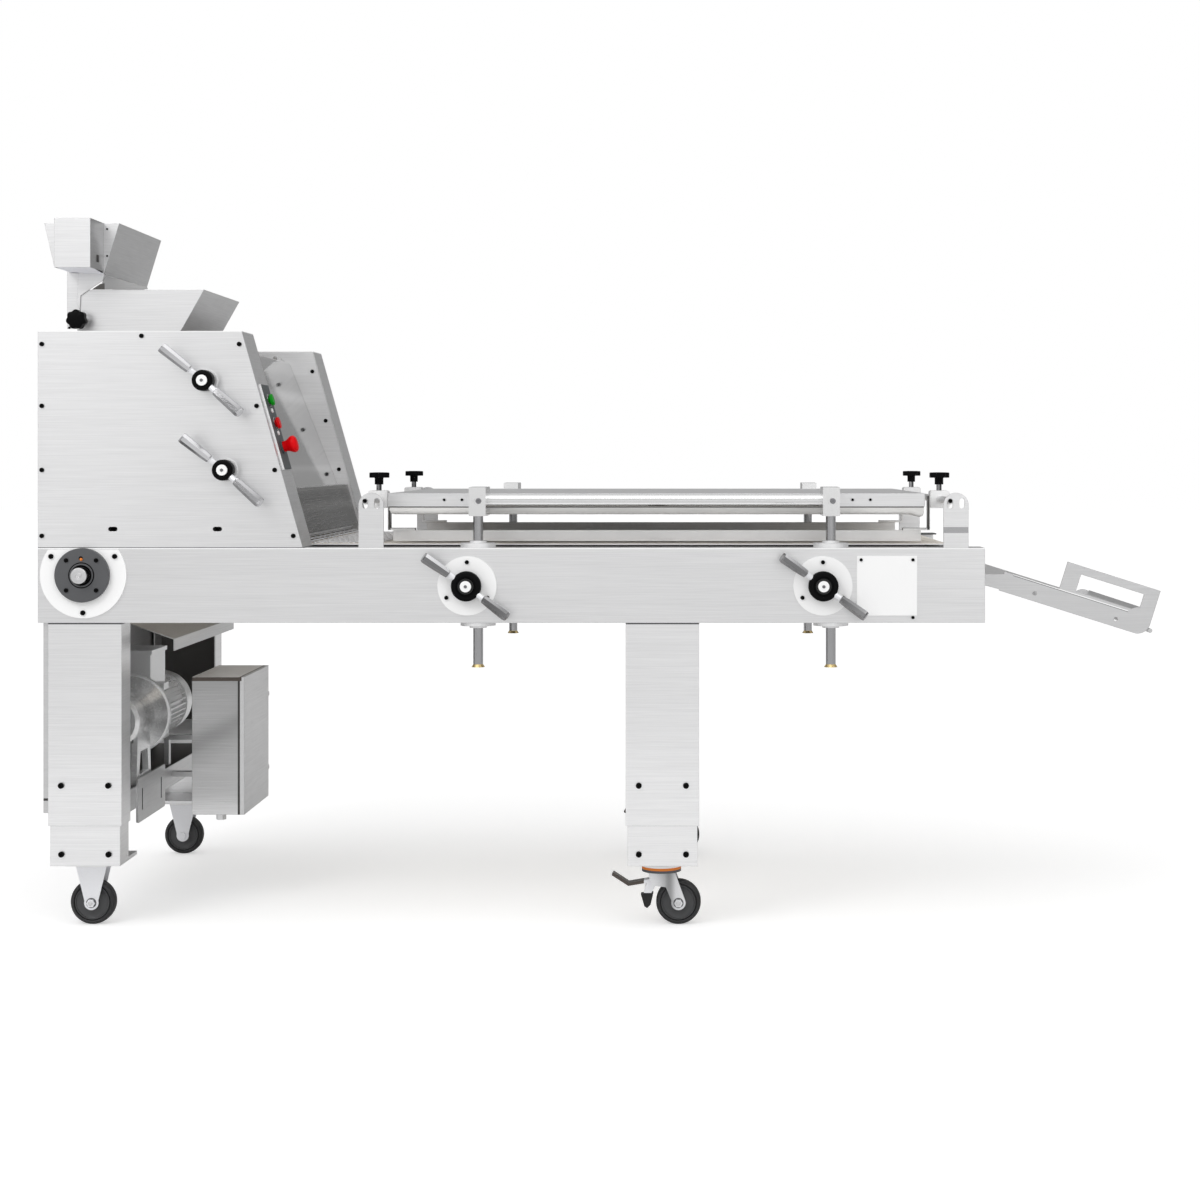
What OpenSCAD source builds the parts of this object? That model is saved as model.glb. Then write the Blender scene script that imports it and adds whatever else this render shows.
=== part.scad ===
// Baguette moulder on castors: sheeting head, moulding conveyor and catch tray.
// X runs from the head to the discharge end, -Y is the operator's side, +Z is up.
// The origin is on the floor, on the machine's middle plane. Sizes are in millimetres.

/* [Side frame] */
// Width over the outer faces of the side beams
frame_w = 1040; // [1020:1:1100]
// Distance from the origin back to the head end of the beams
head_end = 1253; // [1200:1:1300]
// Length of each side beam
beam_len = 2084; // [2084:1:2200]
// Height of each side beam
beam_h = 165; // [160:1:180]
// Height of the beam tops above the floor
beam_top_z = 842.5; // [835:0.5:870]
// Width of the beam flanges
beam_flange = 80; // [76:1:88]
// Thickness of the folded frame sheet
frame_t = 3; // [2.5:0.5:4]
// Number of transverse tubes between the beams
cross_count = 4; // [3:1:4]
// Width of each transverse tube
cross_w = 40; // [30:1:50]
// Height of each transverse tube
cross_h = 57; // [40:1:60]

/* [Legs] */
// Width of each leg channel along the machine
leg_w = 162; // [150:1:170]
// Depth of each leg channel
leg_depth = 76; // [70:1:80]
// How far the legs stand inside the beam faces
leg_inset = 5; // [2:1:10]
// Distance from the head end to the first leg's middle
leg_first = 102; // [96:1:110]
// Distance between the two pairs of legs
leg_spacing = 1272; // [1200:1:1300]
// Height of the lower edge of the leg channel
leg_bottom_z = 230; // [210:1:250]
// Height of the lower edge of the extension
foot_bottom_z = 149; // [149:1:160]
// Overlap of the extension inside the leg
foot_overlap = 115; // [100:1:130]
// Depth of the foot plate under each leg
foot_plate_depth = 148; // [130:1:160]
// Thickness of the foot plate
foot_plate_t = 8; // [6:1:10]
// Spacing of the leg bolts across a leg
leg_bolt_spacing = 104; // [80:1:120]
// Height of the upper leg bolts
leg_bolt_high_z = 319; // [300:1:330]
// Height of the lower leg bolts
leg_bolt_low_z = 167; // [165:1:180]

/* [Castors] */
// Diameter of the castor wheels
wheel_d = 100; // [90:1:106]
// Width of the castor wheels
wheel_w = 32; // [28:1:36]
// Diameter of the castor axles
castor_axle_d = 12; // [10:1:14]
// Distance of the castors from the middle plane
castor_y = 440; // [430:1:445]
// Thickness of the castor plates
castor_plate_t = 6; // [5:1:8]
// Distance of the swivel castor's axle from its swivel axis
castor_trail = 38; // [30:1:42]
// Diameter of the swivel head
swivel_head_d = 90; // [84:1:96]
// Thickness of the fork sheet
fork_t = 3; // [2.5:0.5:4]
// Radius of the fork ends
fork_end_r = 16; // [14:1:20]

/* [Conveyor] */
// Width of the belt
belt_w = 760; // [700:1:764]
// Thickness of the belt
belt_t = 3; // [2:0.5:4]
// Thickness of the slider bed
bed_t = 4; // [3:0.5:5]
// Diameter of the drive and tail rollers
roller_d = 120; // [112:1:124]
// Distance from the head end to the drive roller's axis
drive_from_end = 101; // [95:1:110]
// Distance from the discharge end to the tail roller's axis
tail_from_end = 76; // [74:1:90]
// Diameter of the drive shaft
drive_shaft_d = 35; // [30:1:40]
// Diameter of the tail roller's shaft
tail_shaft_d = 30; // [25:1:35]
// Diameter of the flange bearing's casting
bearing_d = 120; // [110:1:130]
// Diameter of the plate behind the flange bearing
bearing_plate_d = 190; // [170:1:200]

/* [Head] */
// Length of the head housings at their base
head_base_len = 583; // [560:1:600]
// Length of the head housings at their top
head_top_len = 448.5; // [430:0.5:470]
// Height of the head housings
head_h = 477.5; // [460:0.5:500]
// Depth of each head housing across the machine
head_side_w = 125; // [118:1:130]
// Thickness of the inner head plates
head_plate_t = 10; // [8:1:12]
// Thickness of the cover sheet
cover_t = 2; // [1.5:0.5:3]
// Drop of the closing panel below the housing tops
top_panel_drop = 28; // [20:1:40]
// Thickness of the foot bars of the head plates
head_foot_t = 12; // [8:1:16]

/* [Sheeting rollers] */
// Diameter of the upper sheeting rollers
upper_roller_d = 100; // [90:1:110]
// Diameter of the lower sheeting rollers
lower_roller_d = 80; // [70:1:90]
// Gap between the upper rollers as stored
upper_gap = 8; // [7:1:12]
// Gap between the lower rollers as stored
lower_gap = 6.5; // [6.5:0.5:10]
// Distance from the head end to the upper nip
upper_nip_from_end = 153; // [145:1:165]
// Distance from the head end to the lower nip
lower_nip_from_end = 193; // [180:1:200]
// Diameter of the roller journals
journal_d = 30; // [26:1:32]
// Size of the sliding bearing blocks
gap_block = 60; // [54:1:64]
// Width of the sliding bearing blocks
gap_block_w = 30; // [26:1:34]
// How far the gap can close
gap_close = 6; // [3:1:6]
// How far the gap can open
gap_open = 14; // [10:1:16]
// Distance from the head end to the upper gap handle
upper_handle_from_end = 371; // [365:0.5:385]
// Distance from the head end to the lower gap handle
lower_handle_from_end = 415; // [408:0.5:428]
// Height of the upper gap handle above the beam tops
upper_handle_h = 367.5; // [360:0.5:375]
// Height of the lower gap handle above the beam tops
lower_handle_h = 171.5; // [165:0.5:180]

/* [Handles] */
// Diameter of the black hub
hub_d = 66; // [60:1:72]
// Depth of the hub
hub_depth = 28; // [24:1:32]
// Diameter of the gap handles' hubs
gap_hub_d = 46; // [42:1:52]
// Depth of the gap handles' hubs
gap_hub_depth = 40; // [32:1:44]
// Diameter of the hand shafts
hand_shaft_d = 20; // [18:1:22]
// Thickness of the boss that carries a hand shaft
boss_t = 8; // [6:1:10]
// Diameter of the lever grips
grip_d = 21; // [18:1:24]
// Distance from the shaft to a grip's tip
grip_reach = 115; // [100:1:125]
// Angle of the grips above the horizontal
grip_angle = 140; // [130:1:150]
// Outward lean of the grips
grip_lean = 12; // [6:1:15]
// Diameter of the discs behind the lift handles
lift_disc_d = 130; // [120:1:136]

/* [Lift of the press board] */
// Diameter of the lift posts
post_d = 22; // [20:1:24]
// Distance of the posts from the middle plane
post_y = 480; // [478:1:480]
// Distance from the head end to the first pair of posts
post_first = 965; // [950:1:980]
// Distance between the two pairs of posts
post_spacing = 782; // [760:1:800]
// Height of the posts' lower ends
post_bottom_z = 577; // [560:1:590]
// Depth of the lift shaft's axis below the beam tops
lift_shaft_drop = 83; // [80:1:86]
// Largest lift of the board above its stored place
lift_up = 40; // [30:1:40]
// Largest drop of the board below its stored place
lift_down = 26; // [20:1:27]
// Pitch radius of the pinions
pinion_r = 12; // [12:1:12]
// Number of pinion teeth
pinion_teeth = 12; // [12:1:12]
// Width of the pinions
pinion_w = 16; // [12:1:18]
// Flat cut on the post before the teeth
rack_flat = 1.2; // [1:0.1:1.6]
// Width of the clamp blocks
clamp_w = 37.5; // [34:0.5:42]
// Height of the clamp blocks
clamp_h = 64; // [56:1:70]
// Diameter of the side tubes
side_tube_d = 28; // [24:1:30]

/* [Press board] */
// Width of the press board
board_w = 806; // [780:1:812]
// Height of the board's underside above the belt
board_clear = 67; // [66:1:75]
// Height of the folded board sheet
board_h = 30; // [26:1:34]
// Thickness of the pad under the board
pad_t = 17.5; // [14:0.5:20]
// Thickness of the board sheet
board_t = 3; // [2:0.5:4]

/* [Side guides] */
// Width of the upright plates
upright_w = 55.4; // [54:0.2:60]
// Height of the upright plates above the beams
upright_h = 121.5; // [118:0.5:130]
// Thickness of the upright plates
upright_t = 5; // [4:1:6]
// Distance from the head end to the first upright
upright_first = 733; // [725:1:740]
// Distance between the uprights
upright_spacing = 1287; // [1280:1:1295]
// Distance of each slot from the upright's middle
slot_offset = 13; // [12:0.5:14]
// Diameter of the guide rods
rod_d = 16; // [14:1:18]
// Diameter of the rod spigots
spigot_d = 12; // [10:1:13]
// Height of the guide rods above the beams
rod_h = 103.5; // [100:0.5:106]
// Size of the slider blocks
slider = 44; // [40:1:48]
// Distance of the near guide from the middle plane
near_guide_y = 303; // [280:1:320]
// Distance of the far guide from the middle plane
far_guide_y = 334; // [300:1:336]
// Height of the guide bars
guide_bar_h = 25; // [20:1:26]
// Thickness of the guide bars
guide_bar_t = 20; // [16:1:24]
// Clearance under the guide bars
guide_clear = 3.5; // [2.5:0.5:4]
// Diameter of the lobed knobs
knob_d = 47; // [42:1:52]
// Number of lobes on a knob
knob_lobes = 5; // [5:1:7]

/* [Hoppers] */
// Width over the hopper plates
hopper_w = 399; // [360:1:420]
// Distance of the hoppers' middle from the middle plane
hopper_y = 55.5; // [40:0.5:70]
// Thickness of the hopper sheet
hopper_t = 2; // [1.5:0.5:2]
// Height of the lower hopper's rim above the housings
lower_hopper_h = 111; // [100:1:120]
// Height of the upper hopper's rim above the housings
upper_hopper_h = 265; // [255:1:275]
// Depth of the box beside the upper hopper
hopper_box_depth = 114; // [100:1:120]
// Diameter of the hopper's clamp knob
hopper_knob_d = 46; // [42:1:52]

/* [Catch tray] */
// Width of the catch tray
tray_w = 700; // [650:1:740]
// Slope of the catch tray
tray_slope = 17.5; // [15:0.5:20]
// Length of the sloped part of the side plates
tray_len = 332; // [320:1:350]
// Height of the tray's side plates
tray_side_h = 45; // [40:1:50]
// Thickness of the tray's sheet
tray_t = 3; // [2:0.5:4]

/* [Motor bay] */
// Height of the motor shelf
shelf_z = 290; // [285:1:295]
// Depth of the shelf's folded lip
shelf_lip = 50; // [40:1:55]
// Height of the motor's axis above the shelf
motor_axis_h = 145; // [140:1:150]
// Diameter of the motor's housing
motor_d = 130; // [120:1:136]
// Length of the finned housing
motor_len = 270; // [240:1:280]
// Diameter of the motor's flange
motor_flange_d = 190; // [180:1:196]
// Width of the cabinet along the machine
cabinet_w = 110; // [100:1:120]
// Depth of the cabinet across the machine
cabinet_depth = 294; // [270:1:310]
// Height of the cabinet
cabinet_h = 320; // [300:1:340]
// Height of the cabinet's underside
cabinet_z = 212; // [200:1:225]
// Distance from the head end to the cabinet
cabinet_from_end = 278; // [275:1:290]
// Thickness of the cabinet door
door_t = 11; // [10:1:14]
// Bore radius of the cable gland
gland_bore_r = 6.5; // [5:0.5:7.5]

/* [Controls] */
// Width of the control strip
strip_w = 90; // [84:1:94]
// Length of the control strip
strip_len = 195; // [190:1:205]
// Thickness of the control strip
strip_t = 3; // [2:0.5:4]
// Diameter of the start and stop buttons
button_d = 26; // [22:1:28]
// Diameter of the emergency stop's head
estop_d = 38; // [34:1:44]
// Travel of the buttons
button_travel = 4; // [3:0.5:5]

/* [Clearances] */
// Radial running clearance of shafts and slides
run = 0.05; // [0.03:0.01:0.08]
// Gap between pieces that move past each other
gap = 0.3; // [0.3:0.1:0.5]

/* [Hidden] */
$fn = 64;

steel = [0.80, 0.81, 0.82];
steel_shade = [0.62, 0.63, 0.65];
zinc = [0.72, 0.73, 0.75];
black = [0.05, 0.05, 0.06];
dark_grey = [0.25, 0.26, 0.28];
cast_grey = [0.35, 0.36, 0.38];
white = [0.93, 0.93, 0.93];
canvas = [0.88, 0.80, 0.72];
brass = [0.80, 0.62, 0.28];

// Beams
beam_x0 = -head_end;
beam_x1 = beam_x0 + beam_len;
beam_y = frame_w / 2;
beam_in_y = beam_y - beam_flange;
web_in_y = beam_y - frame_t;
beam_bot_z = beam_top_z - beam_h;
flange_under_z = beam_top_z - frame_t;
cross_first_x = beam_x0 + 300;
cross_pitch = 530;
end_plate_t = 5;
end_plate_top_z = beam_top_z - 66.5;
end_plate_h = 40;

// Belt and rollers
bed_top_z = flange_under_z + bed_t;
belt_top_z = bed_top_z + belt_t;
roller_r = roller_d / 2;
loop_r = roller_r + gap;
roller_z = bed_top_z - loop_r;
drive_x = beam_x0 + drive_from_end;
tail_x = beam_x1 - tail_from_end;
drum_w = belt_w + 10;
bed_w = belt_w + 10;
bed_end_gap = 40;
tail_block = 64;
tail_block_w = 25;

// Legs
leg_x = [beam_x0 + leg_first, beam_x0 + leg_first + leg_spacing];
leg_out_y = beam_y - leg_inset;
leg_in_y = leg_out_y - leg_depth;
foot_w = leg_w - 2 * frame_t - 2;
foot_out_y = leg_out_y - frame_t;
foot_plate_in_y = foot_out_y - foot_plate_depth;
foot_plate_z = foot_bottom_z - foot_plate_t;

// Castors
castor_z = foot_plate_z - castor_plate_t;
wheel_z = wheel_d / 2;
wheel_r = wheel_d / 2;
fork_in = wheel_w / 2 + 4;
seal_t = 7;
raceway_t = 9;
seal_z = castor_z - seal_t;
raceway_top_z = seal_z - gap;
raceway_z = raceway_top_z - raceway_t;
kingpin_d = 18;
swivel_x = leg_x[1] - 3;
swivel_wheel_x = swivel_x + castor_trail;
pedal_pivot_x = swivel_x - 14;
pedal_pivot_z = wheel_z + 46;
pedal_pin_d = 8;

// Head
head_x0 = beam_x0;
head_z0 = beam_top_z;
head_z1 = head_z0 + head_h;
head_front_base = head_x0 + head_base_len;
head_front_top = head_x0 + head_top_len;
front_run = head_base_len - head_top_len;
front_len = sqrt(front_run * front_run + head_h * head_h);
front_tilt = atan(front_run / head_h);
head_in_y = beam_y - head_side_w;
head_plate_y = head_in_y + head_plate_t;
top_panel_z = head_z1 - top_panel_drop;

// Sheeting rollers
upper_z = head_z0 + upper_handle_h;
lower_z = head_z0 + lower_handle_h;
upper_fixed_x = head_x0 + upper_nip_from_end - upper_gap / 2 - upper_roller_d / 2;
upper_moving_x = head_x0 + upper_nip_from_end + upper_gap / 2 + upper_roller_d / 2;
lower_fixed_x = head_x0 + lower_nip_from_end - lower_gap / 2 - lower_roller_d / 2;
lower_moving_x = head_x0 + lower_nip_from_end + lower_gap / 2 + lower_roller_d / 2;
upper_handle_x = head_x0 + upper_handle_from_end;
lower_handle_x = head_x0 + lower_handle_from_end;
sheet_roller_w = 2 * head_in_y - 8;
journal_out_y = head_plate_y + gap + gap_block_w;

// Pinions and racks
tooth_pitch = 2 * PI * pinion_r / pinion_teeth;
tooth_t = tooth_pitch * 0.37;
tooth_out = 1.6;
tooth_in = 2.1;
tooth_flank = 20;
rack_line = post_d / 2 - rack_flat - tooth_out;
lift_shaft_dx = pinion_r + rack_line;
bar_rack_h = 14;
bar_rack_w = 14;

// Handles
boss_y = beam_y + boss_t;
hub_y = boss_y + gap;
hub_front_y = hub_y + hub_depth;
cap_t = 3;
cap_d = 34;

// Lift
post_x = [beam_x0 + post_first, beam_x0 + post_first + post_spacing];
lift_shaft_z = beam_top_z - lift_shaft_drop;
board_bot_z = belt_top_z + board_clear;
board_top_z = board_bot_z + pad_t + board_h;
clamp_z = board_bot_z - 1.5;
clamp_bolt_z = clamp_z + clamp_h / 2;
clamp_out_y = post_y + 25;
board_y = board_w / 2;
clamp_in_y = board_y;
side_tube_y = (clamp_in_y + post_y) / 2;
bush_d = 38;
top_flange_d = 78;
top_flange_t = 10;
bottom_flange_t = 8;
bush_collar = 5;
cap_flare_d = 30;
cap_flare_h = 6;
flange_hole_d = 50;

// Side guides
upright_x = [beam_x0 + upright_first, beam_x0 + upright_first + upright_spacing];
rod_x = [upright_x[0] - slot_offset, upright_x[1] - slot_offset];
rod_z = beam_top_z + rod_h;
guide_bar_z = belt_top_z + guide_clear;
guide_bar_top_z = guide_bar_z + guide_bar_h;
strap_t = 5;
strap_w = 30;
board_end_gap = [7, 16];
slider_in_x = [rod_x[0] + slider / 2, rod_x[1] - slider / 2];
board_x0 = slider_in_x[0] + strap_t + board_end_gap[0];
board_x1 = slider_in_x[1] - strap_t - board_end_gap[1];
strap_foot_len = 62;
slot_h = 23;
knob_stud_d = 10;
knob_hub_d = 19.5;
knob_hub_z = 14;
knob_body_z = 29;
knob_body_h = 12;

// Hoppers
hopper_near_y = -hopper_y - hopper_w / 2;
hopper_far_y = -hopper_y + hopper_w / 2;
lower_rim_z = head_z1 + lower_hopper_h;
upper_rim_z = head_z1 + upper_hopper_h;
hopper_left_x = head_x0 + 13;
hopper_pivot_x = head_x0 + 21;
hopper_pivot_z = head_z1 + 40;
hopper_stud_d = 8;
upper_floor_z = upper_rim_z - 118;
upper_left_x = hopper_pivot_x - 84;
upper_right_x = hopper_pivot_x + 90;
upper_throat_x = hopper_pivot_x + 54;
upper_corner_x = hopper_pivot_x - 61;
upper_corner_z = upper_rim_z - 100;
neck_x0 = hopper_pivot_x - 31;
neck_x1 = hopper_pivot_x - 1;
neck_bend_z = upper_floor_z - 60;

// Blank plate on the near beam
plate_x0 = post_x[1] + 55;

// Front guard
guard_top_x = head_front_top - 58;
guard_top_z = top_panel_z;
guard_low_x = guard_top_x + 122;
guard_low_z = head_z0 + 131;
guard_ledge = 26;
guard_lip_z = head_z0 + 27;
guard_lip_run = 28;
guard_hinge_x = guard_top_x - 30;
guard_hinge_d = 8;
mesh_bar_x = head_front_base - 34;
mesh_bar_z = head_z0 + 22;
mesh_bar_d = 10;
mesh_wire_d = 3;
mesh_links = 12;
mesh_pitch = 12;

// Tray
tray_bend_x = beam_x1 + 86;
tray_bend_z = end_plate_top_z;
tray_y = tray_w / 2;

// Motor bay
motor_x = beam_x0 + 112;
motor_z = shelf_z + motor_axis_h;
motor_near_y = -150;
gearbox_y1 = motor_near_y - 12;
gearbox_y0 = gearbox_y1 - 170;
shelf_x1 = beam_x0 + 168;
bay_left_x = leg_x[0] - leg_w / 2;
bay_panel_x = bay_left_x - door_t;
canopy_run = 150;
canopy_drop = 52;
canopy_lip = 26;
canopy_w = 654;
case_y0 = -beam_in_y + 8;
case_y1 = -belt_w / 2 - 12;
case_r = 56;
cabinet_x0 = beam_x0 + cabinet_from_end;
cabinet_x1 = cabinet_x0 + cabinet_w;
cabinet_y0 = -250;
cabinet_y1 = cabinet_y0 + cabinet_depth;
door_x0 = cabinet_x1 + gap;
door_x1 = door_x0 + door_t;
door_hinge_y = cabinet_y1 + 6;
gland_x = cabinet_x0 + cabinet_w / 2;
gland_y = cabinet_y0 + 60;

// Controls, placed along the sloped front from the top of the strip
strip_top_z = head_z0 + 360.5;
strip_from_top = (head_z1 - strip_top_z) / cos(front_tilt);
strip_y = -beam_y + 73;
start_at = 36.6;
lamp_at = [59.9, 111.8];
stop_at = 90;
estop_at = 142.4;
stem_d = 16;
stem_len = 14;

// Points along an arc, from angle a0 to angle a1 in n steps
function arc(centre, r, a0, a1, n = 8) =
  [for (i = [0:n]) let (a = a0 + (a1 - a0) * i / n) centre + r * [cos(a), sin(a)]];

function unit(v) = v / norm(v);
function side_of(a, b) = let (u = unit(b - a)) [-u[1], u[0]];

// The point that lies t to the left of a folded line at its corner i
function miter(p, i, t) =
  i == 0 ? p[0] + t * side_of(p[0], p[1]) :
  i == len(p) - 1 ? p[i] + t * side_of(p[i - 1], p[i]) :
  let (n1 = side_of(p[i - 1], p[i]), n2 = side_of(p[i], p[i + 1]))
  p[i] + t * (n1 + n2) / (1 + n1 * n2);

// Section of a sheet that is folded along the line p, t thick to its left
module folded(p, t) {
  polygon(concat(p, [for (i = [len(p) - 1:-1:0]) miter(p, i, t)]));
}

// A section drawn in X and Z, extruded along Y
module along_y(y0, y1) {
  translate([0, y1, 0]) rotate([90, 0, 0]) linear_extrude(y1 - y0) children();
}

// A section drawn in Y and Z, extruded along X
module along_x(x0, x1) {
  translate([x0, 0, 0]) rotate([90, 0, 90]) linear_extrude(x1 - x0) children();
}

// A block between two corners
module block(lo, hi) {
  translate(lo) cube(hi - lo);
}

module rod_y(x, z, y0, y1, d) {
  translate([x, y1, z]) rotate([90, 0, 0]) cylinder(d = d, h = y1 - y0);
}

module rod_x(y, z, x0, x1, d) {
  translate([x0, y, z]) rotate([0, 90, 0]) cylinder(d = d, h = x1 - x0);
}

module rod_z(x, y, z0, z1, d) {
  translate([x, y, z0]) cylinder(d = d, h = z1 - z0);
}

module both_sides() {
  children();
  mirror([0, 1, 0]) children();
}

// A long hole with round ends in X and Z
module long_hole(x0, x1, z, d) {
  translate([x0, z]) circle(d = d);
  translate([x1, z]) circle(d = d);
  translate([x0, z - d / 2]) square([x1 - x0, d]);
}

module upright_hole(x, z0, z1, d) {
  translate([x, z0]) circle(d = d);
  translate([x, z1]) circle(d = d);
  translate([x - d / 2, z0]) square([d, z1 - z0]);
}

// A square with round corners, centred
module round_square(w, h, r) {
  square([w - 2 * r, h], center = true);
  square([w, h - 2 * r], center = true);
  for (sx = [-1, 1], sy = [-1, 1])
    translate([sx * (w / 2 - r), sy * (h / 2 - r)]) circle(r = r);
}

// Side frame
module beam_section() {
  y0 = -beam_y;
  folded([[-beam_in_y, beam_bot_z], [y0, beam_bot_z], [y0, beam_top_z], [-beam_in_y, beam_top_z]],
         -frame_t);
}

module beam() {
  difference() {
    along_x(beam_x0, beam_x1) beam_section();
    for (x = post_x) {
      rod_z(x, -post_y, beam_bot_z - 1, beam_bot_z + frame_t + 1, bush_d + 2);
      rod_z(x, -post_y, flange_under_z - 1, beam_top_z + 1, bush_d + 2);
      rod_y(x - lift_shaft_dx, lift_shaft_z, -beam_y - 1, -web_in_y + 1, hand_shaft_d + 6);
    }
    rod_y(drive_x, roller_z, -beam_y - 1, -web_in_y + 1, drive_shaft_d + 6);
  }
}

module cross_tube(x) {
  block([x - cross_w / 2, -web_in_y, flange_under_z - cross_h], [x + cross_w / 2, web_in_y, flange_under_z]);
}

module frame_rails() {
  color(steel) union() {
    both_sides() beam();
    for (i = [0:cross_count - 1]) difference() {
      cross_tube(cross_first_x + i * cross_pitch);
      translate([cross_first_x + i * cross_pitch, 0, flange_under_z - cross_h / 2])
        cube([cross_w - 2 * frame_t, 2 * beam_y, cross_h - 2 * frame_t], center = true);
    }
    block([drive_x + bed_end_gap, -bed_w / 2, flange_under_z],
          [tail_x - bed_end_gap, bed_w / 2, bed_top_z]);
    block([beam_x1 - end_plate_t, -web_in_y, end_plate_top_z - end_plate_h],
          [beam_x1, web_in_y, end_plate_top_z]);
  }
}

// Legs
module channel_section(w, depth, out_y) {
  translate([0, -out_y]) difference() {
    translate([-w / 2, 0]) square([w, depth]);
    translate([-w / 2 + frame_t, frame_t]) square([w - 2 * frame_t, depth]);
  }
}

module leg(x) {
  translate([x, 0, leg_bottom_z]) linear_extrude(beam_bot_z - leg_bottom_z)
    channel_section(leg_w, leg_depth, leg_out_y);
  translate([x, 0, foot_bottom_z]) linear_extrude(leg_bottom_z + foot_overlap - foot_bottom_z)
    channel_section(foot_w, leg_depth - frame_t, foot_out_y);
  block([x - foot_w / 2, -foot_out_y, foot_plate_z], [x + foot_w / 2, -foot_plate_in_y, foot_bottom_z]);
}

module legs() {
  color(steel) both_sides() for (x = leg_x) leg(x);
}

// Castors
module fork_cheek(top_x, top_w, top_z, axle_x) {
  difference() {
    union() {
      polygon([[top_x - top_w / 2, top_z], [top_x + top_w / 2, top_z],
               [axle_x + fork_end_r * 0.96, wheel_z + fork_end_r * 0.28],
               [axle_x, wheel_z], [axle_x - fork_end_r * 0.96, wheel_z + fork_end_r * 0.28]]);
      translate([axle_x, wheel_z]) circle(r = fork_end_r);
    }
    translate([axle_x, wheel_z]) circle(d = castor_axle_d);
  }
}

module castor_axle(x) {
  rod_y(x, wheel_z, -castor_y - fork_in - fork_t, -castor_y + fork_in + fork_t, castor_axle_d);
  for (s = [-1, 1])
    translate([x, -castor_y + s * (fork_in + fork_t), wheel_z]) rotate([s * -90, 0, 0])
      cylinder(d = 19, h = 7, $fn = 6);
}

module rigid_castor(x) {
  for (s = [-1, 1]) {
    y = -castor_y + s * (fork_in + fork_t / 2);
    along_y(y - fork_t / 2, y + fork_t / 2) fork_cheek(x, 70, castor_z, x);
  }
  castor_axle(x);
}

module castor_plate(x) {
  block([x - 52, -castor_y - 42.5, castor_z], [x + 52, -castor_y + 42.5, foot_plate_z]);
}

module castor_mounts() {
  color(zinc) both_sides() {
    castor_plate(leg_x[0]);
    rigid_castor(leg_x[0]);
    castor_plate(swivel_x);
    rod_z(swivel_x, -castor_y, seal_z, castor_z, swivel_head_d);
    rod_z(swivel_x, -castor_y, raceway_z, seal_z, kingpin_d);
  }
}

module swivel_fork() {
  difference() {
    rod_z(swivel_x, -castor_y, raceway_z, raceway_top_z, swivel_head_d - 2);
    rod_z(swivel_x, -castor_y, raceway_z - 1, raceway_top_z + 1, kingpin_d + 2 * run);
  }
  for (s = [-1, 1]) {
    y = -castor_y + s * (fork_in + fork_t / 2);
    along_y(y - fork_t / 2, y + fork_t / 2) difference() {
      union() {
        fork_cheek(swivel_x + 13, 34, raceway_z, swivel_wheel_x);
        polygon([[swivel_x - 30, raceway_z], [swivel_x + 10, raceway_z],
                 [swivel_x + 20, pedal_pivot_z - 12], [pedal_pivot_x - 8, pedal_pivot_z - 8]]);
      }
      translate([pedal_pivot_x, pedal_pivot_z]) circle(d = pedal_pin_d);
    }
  }
  castor_axle(swivel_wheel_x);
  rod_y(pedal_pivot_x, pedal_pivot_z, -castor_y - fork_in - fork_t, -castor_y + fork_in + fork_t,
        pedal_pin_d);
}

module near_swivel_fork() {
  color(zinc) swivel_fork();
}

module far_swivel_fork() {
  color(zinc) mirror([0, 1, 0]) swivel_fork();
}

// The pedal's lever, its bracket and the block that meets the tread
module brake_pedal() {
  px = pedal_pivot_x;
  pz = pedal_pivot_z;
  difference() {
    along_y(-castor_y - 14, -castor_y + 14) {
      folded([[px - 97, pz + 14], [px - 60, pz - 10], [px - 12, pz - 2]], 7);
      translate([px, pz]) circle(r = 9);
      polygon([[px - 12, pz + 8], [px, pz + 6], [px + 2, pz - 8], [px - 10, pz - 28], [px - 26, pz - 28],
               [px - 22, pz - 10]]);
    }
    rod_y(px, pz, -castor_y - 20, -castor_y + 20, pedal_pin_d + 2 * run);
  }
  along_y(-castor_y - 12, -castor_y + 12)
    polygon([[px - 32, pz - 29], [px - 4, pz - 26], [px - 10, pz - 52], [px - 18, pz - 60],
             [px - 24, pz - 56]]);
}

module near_brake_pedal() {
  color(black) brake_pedal();
}

module far_brake_pedal() {
  color(black) mirror([0, 1, 0]) brake_pedal();
}

// A castor wheel: hub with a bore, web and a rounded tread
module wheel(x, y) {
  w = wheel_w / 2;
  bore = castor_axle_d / 2 + run;
  translate([x, y, wheel_z]) rotate([90, 0, 0]) rotate_extrude()
    polygon(concat([[bore, -w - 2], [16, -w - 2], [16, -w + 6], [wheel_r - 18, -w + 6], [wheel_r - 14, -w]],
                   [[wheel_r - 6, -w], [wheel_r, -w + 6], [wheel_r, w - 6], [wheel_r - 6, w]],
                   [[wheel_r - 14, w], [wheel_r - 18, w - 6], [16, w - 6], [16, w + 2], [bore, w + 2]]));
}

module near_left_wheel() {
  color(black) wheel(leg_x[0], -castor_y);
}

module far_left_wheel() {
  color(black) wheel(leg_x[0], castor_y);
}

module near_right_wheel() {
  color(black) wheel(swivel_wheel_x, -castor_y);
}

module far_right_wheel() {
  color(black) wheel(swivel_wheel_x, castor_y);
}

// Motor bay: end panel, shelf with its lip, tension plate, canopy and cabinet arm
module end_panel() {
  y = leg_out_y - 3;
  z0 = leg_bottom_z + 28;
  difference() {
    block([bay_panel_x, -y, z0], [bay_left_x, y, beam_bot_z]);
    block([bay_panel_x + frame_t, -y + frame_t, z0 + frame_t],
          [bay_left_x + 1, y - frame_t, beam_bot_z - frame_t]);
  }
}

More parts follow.
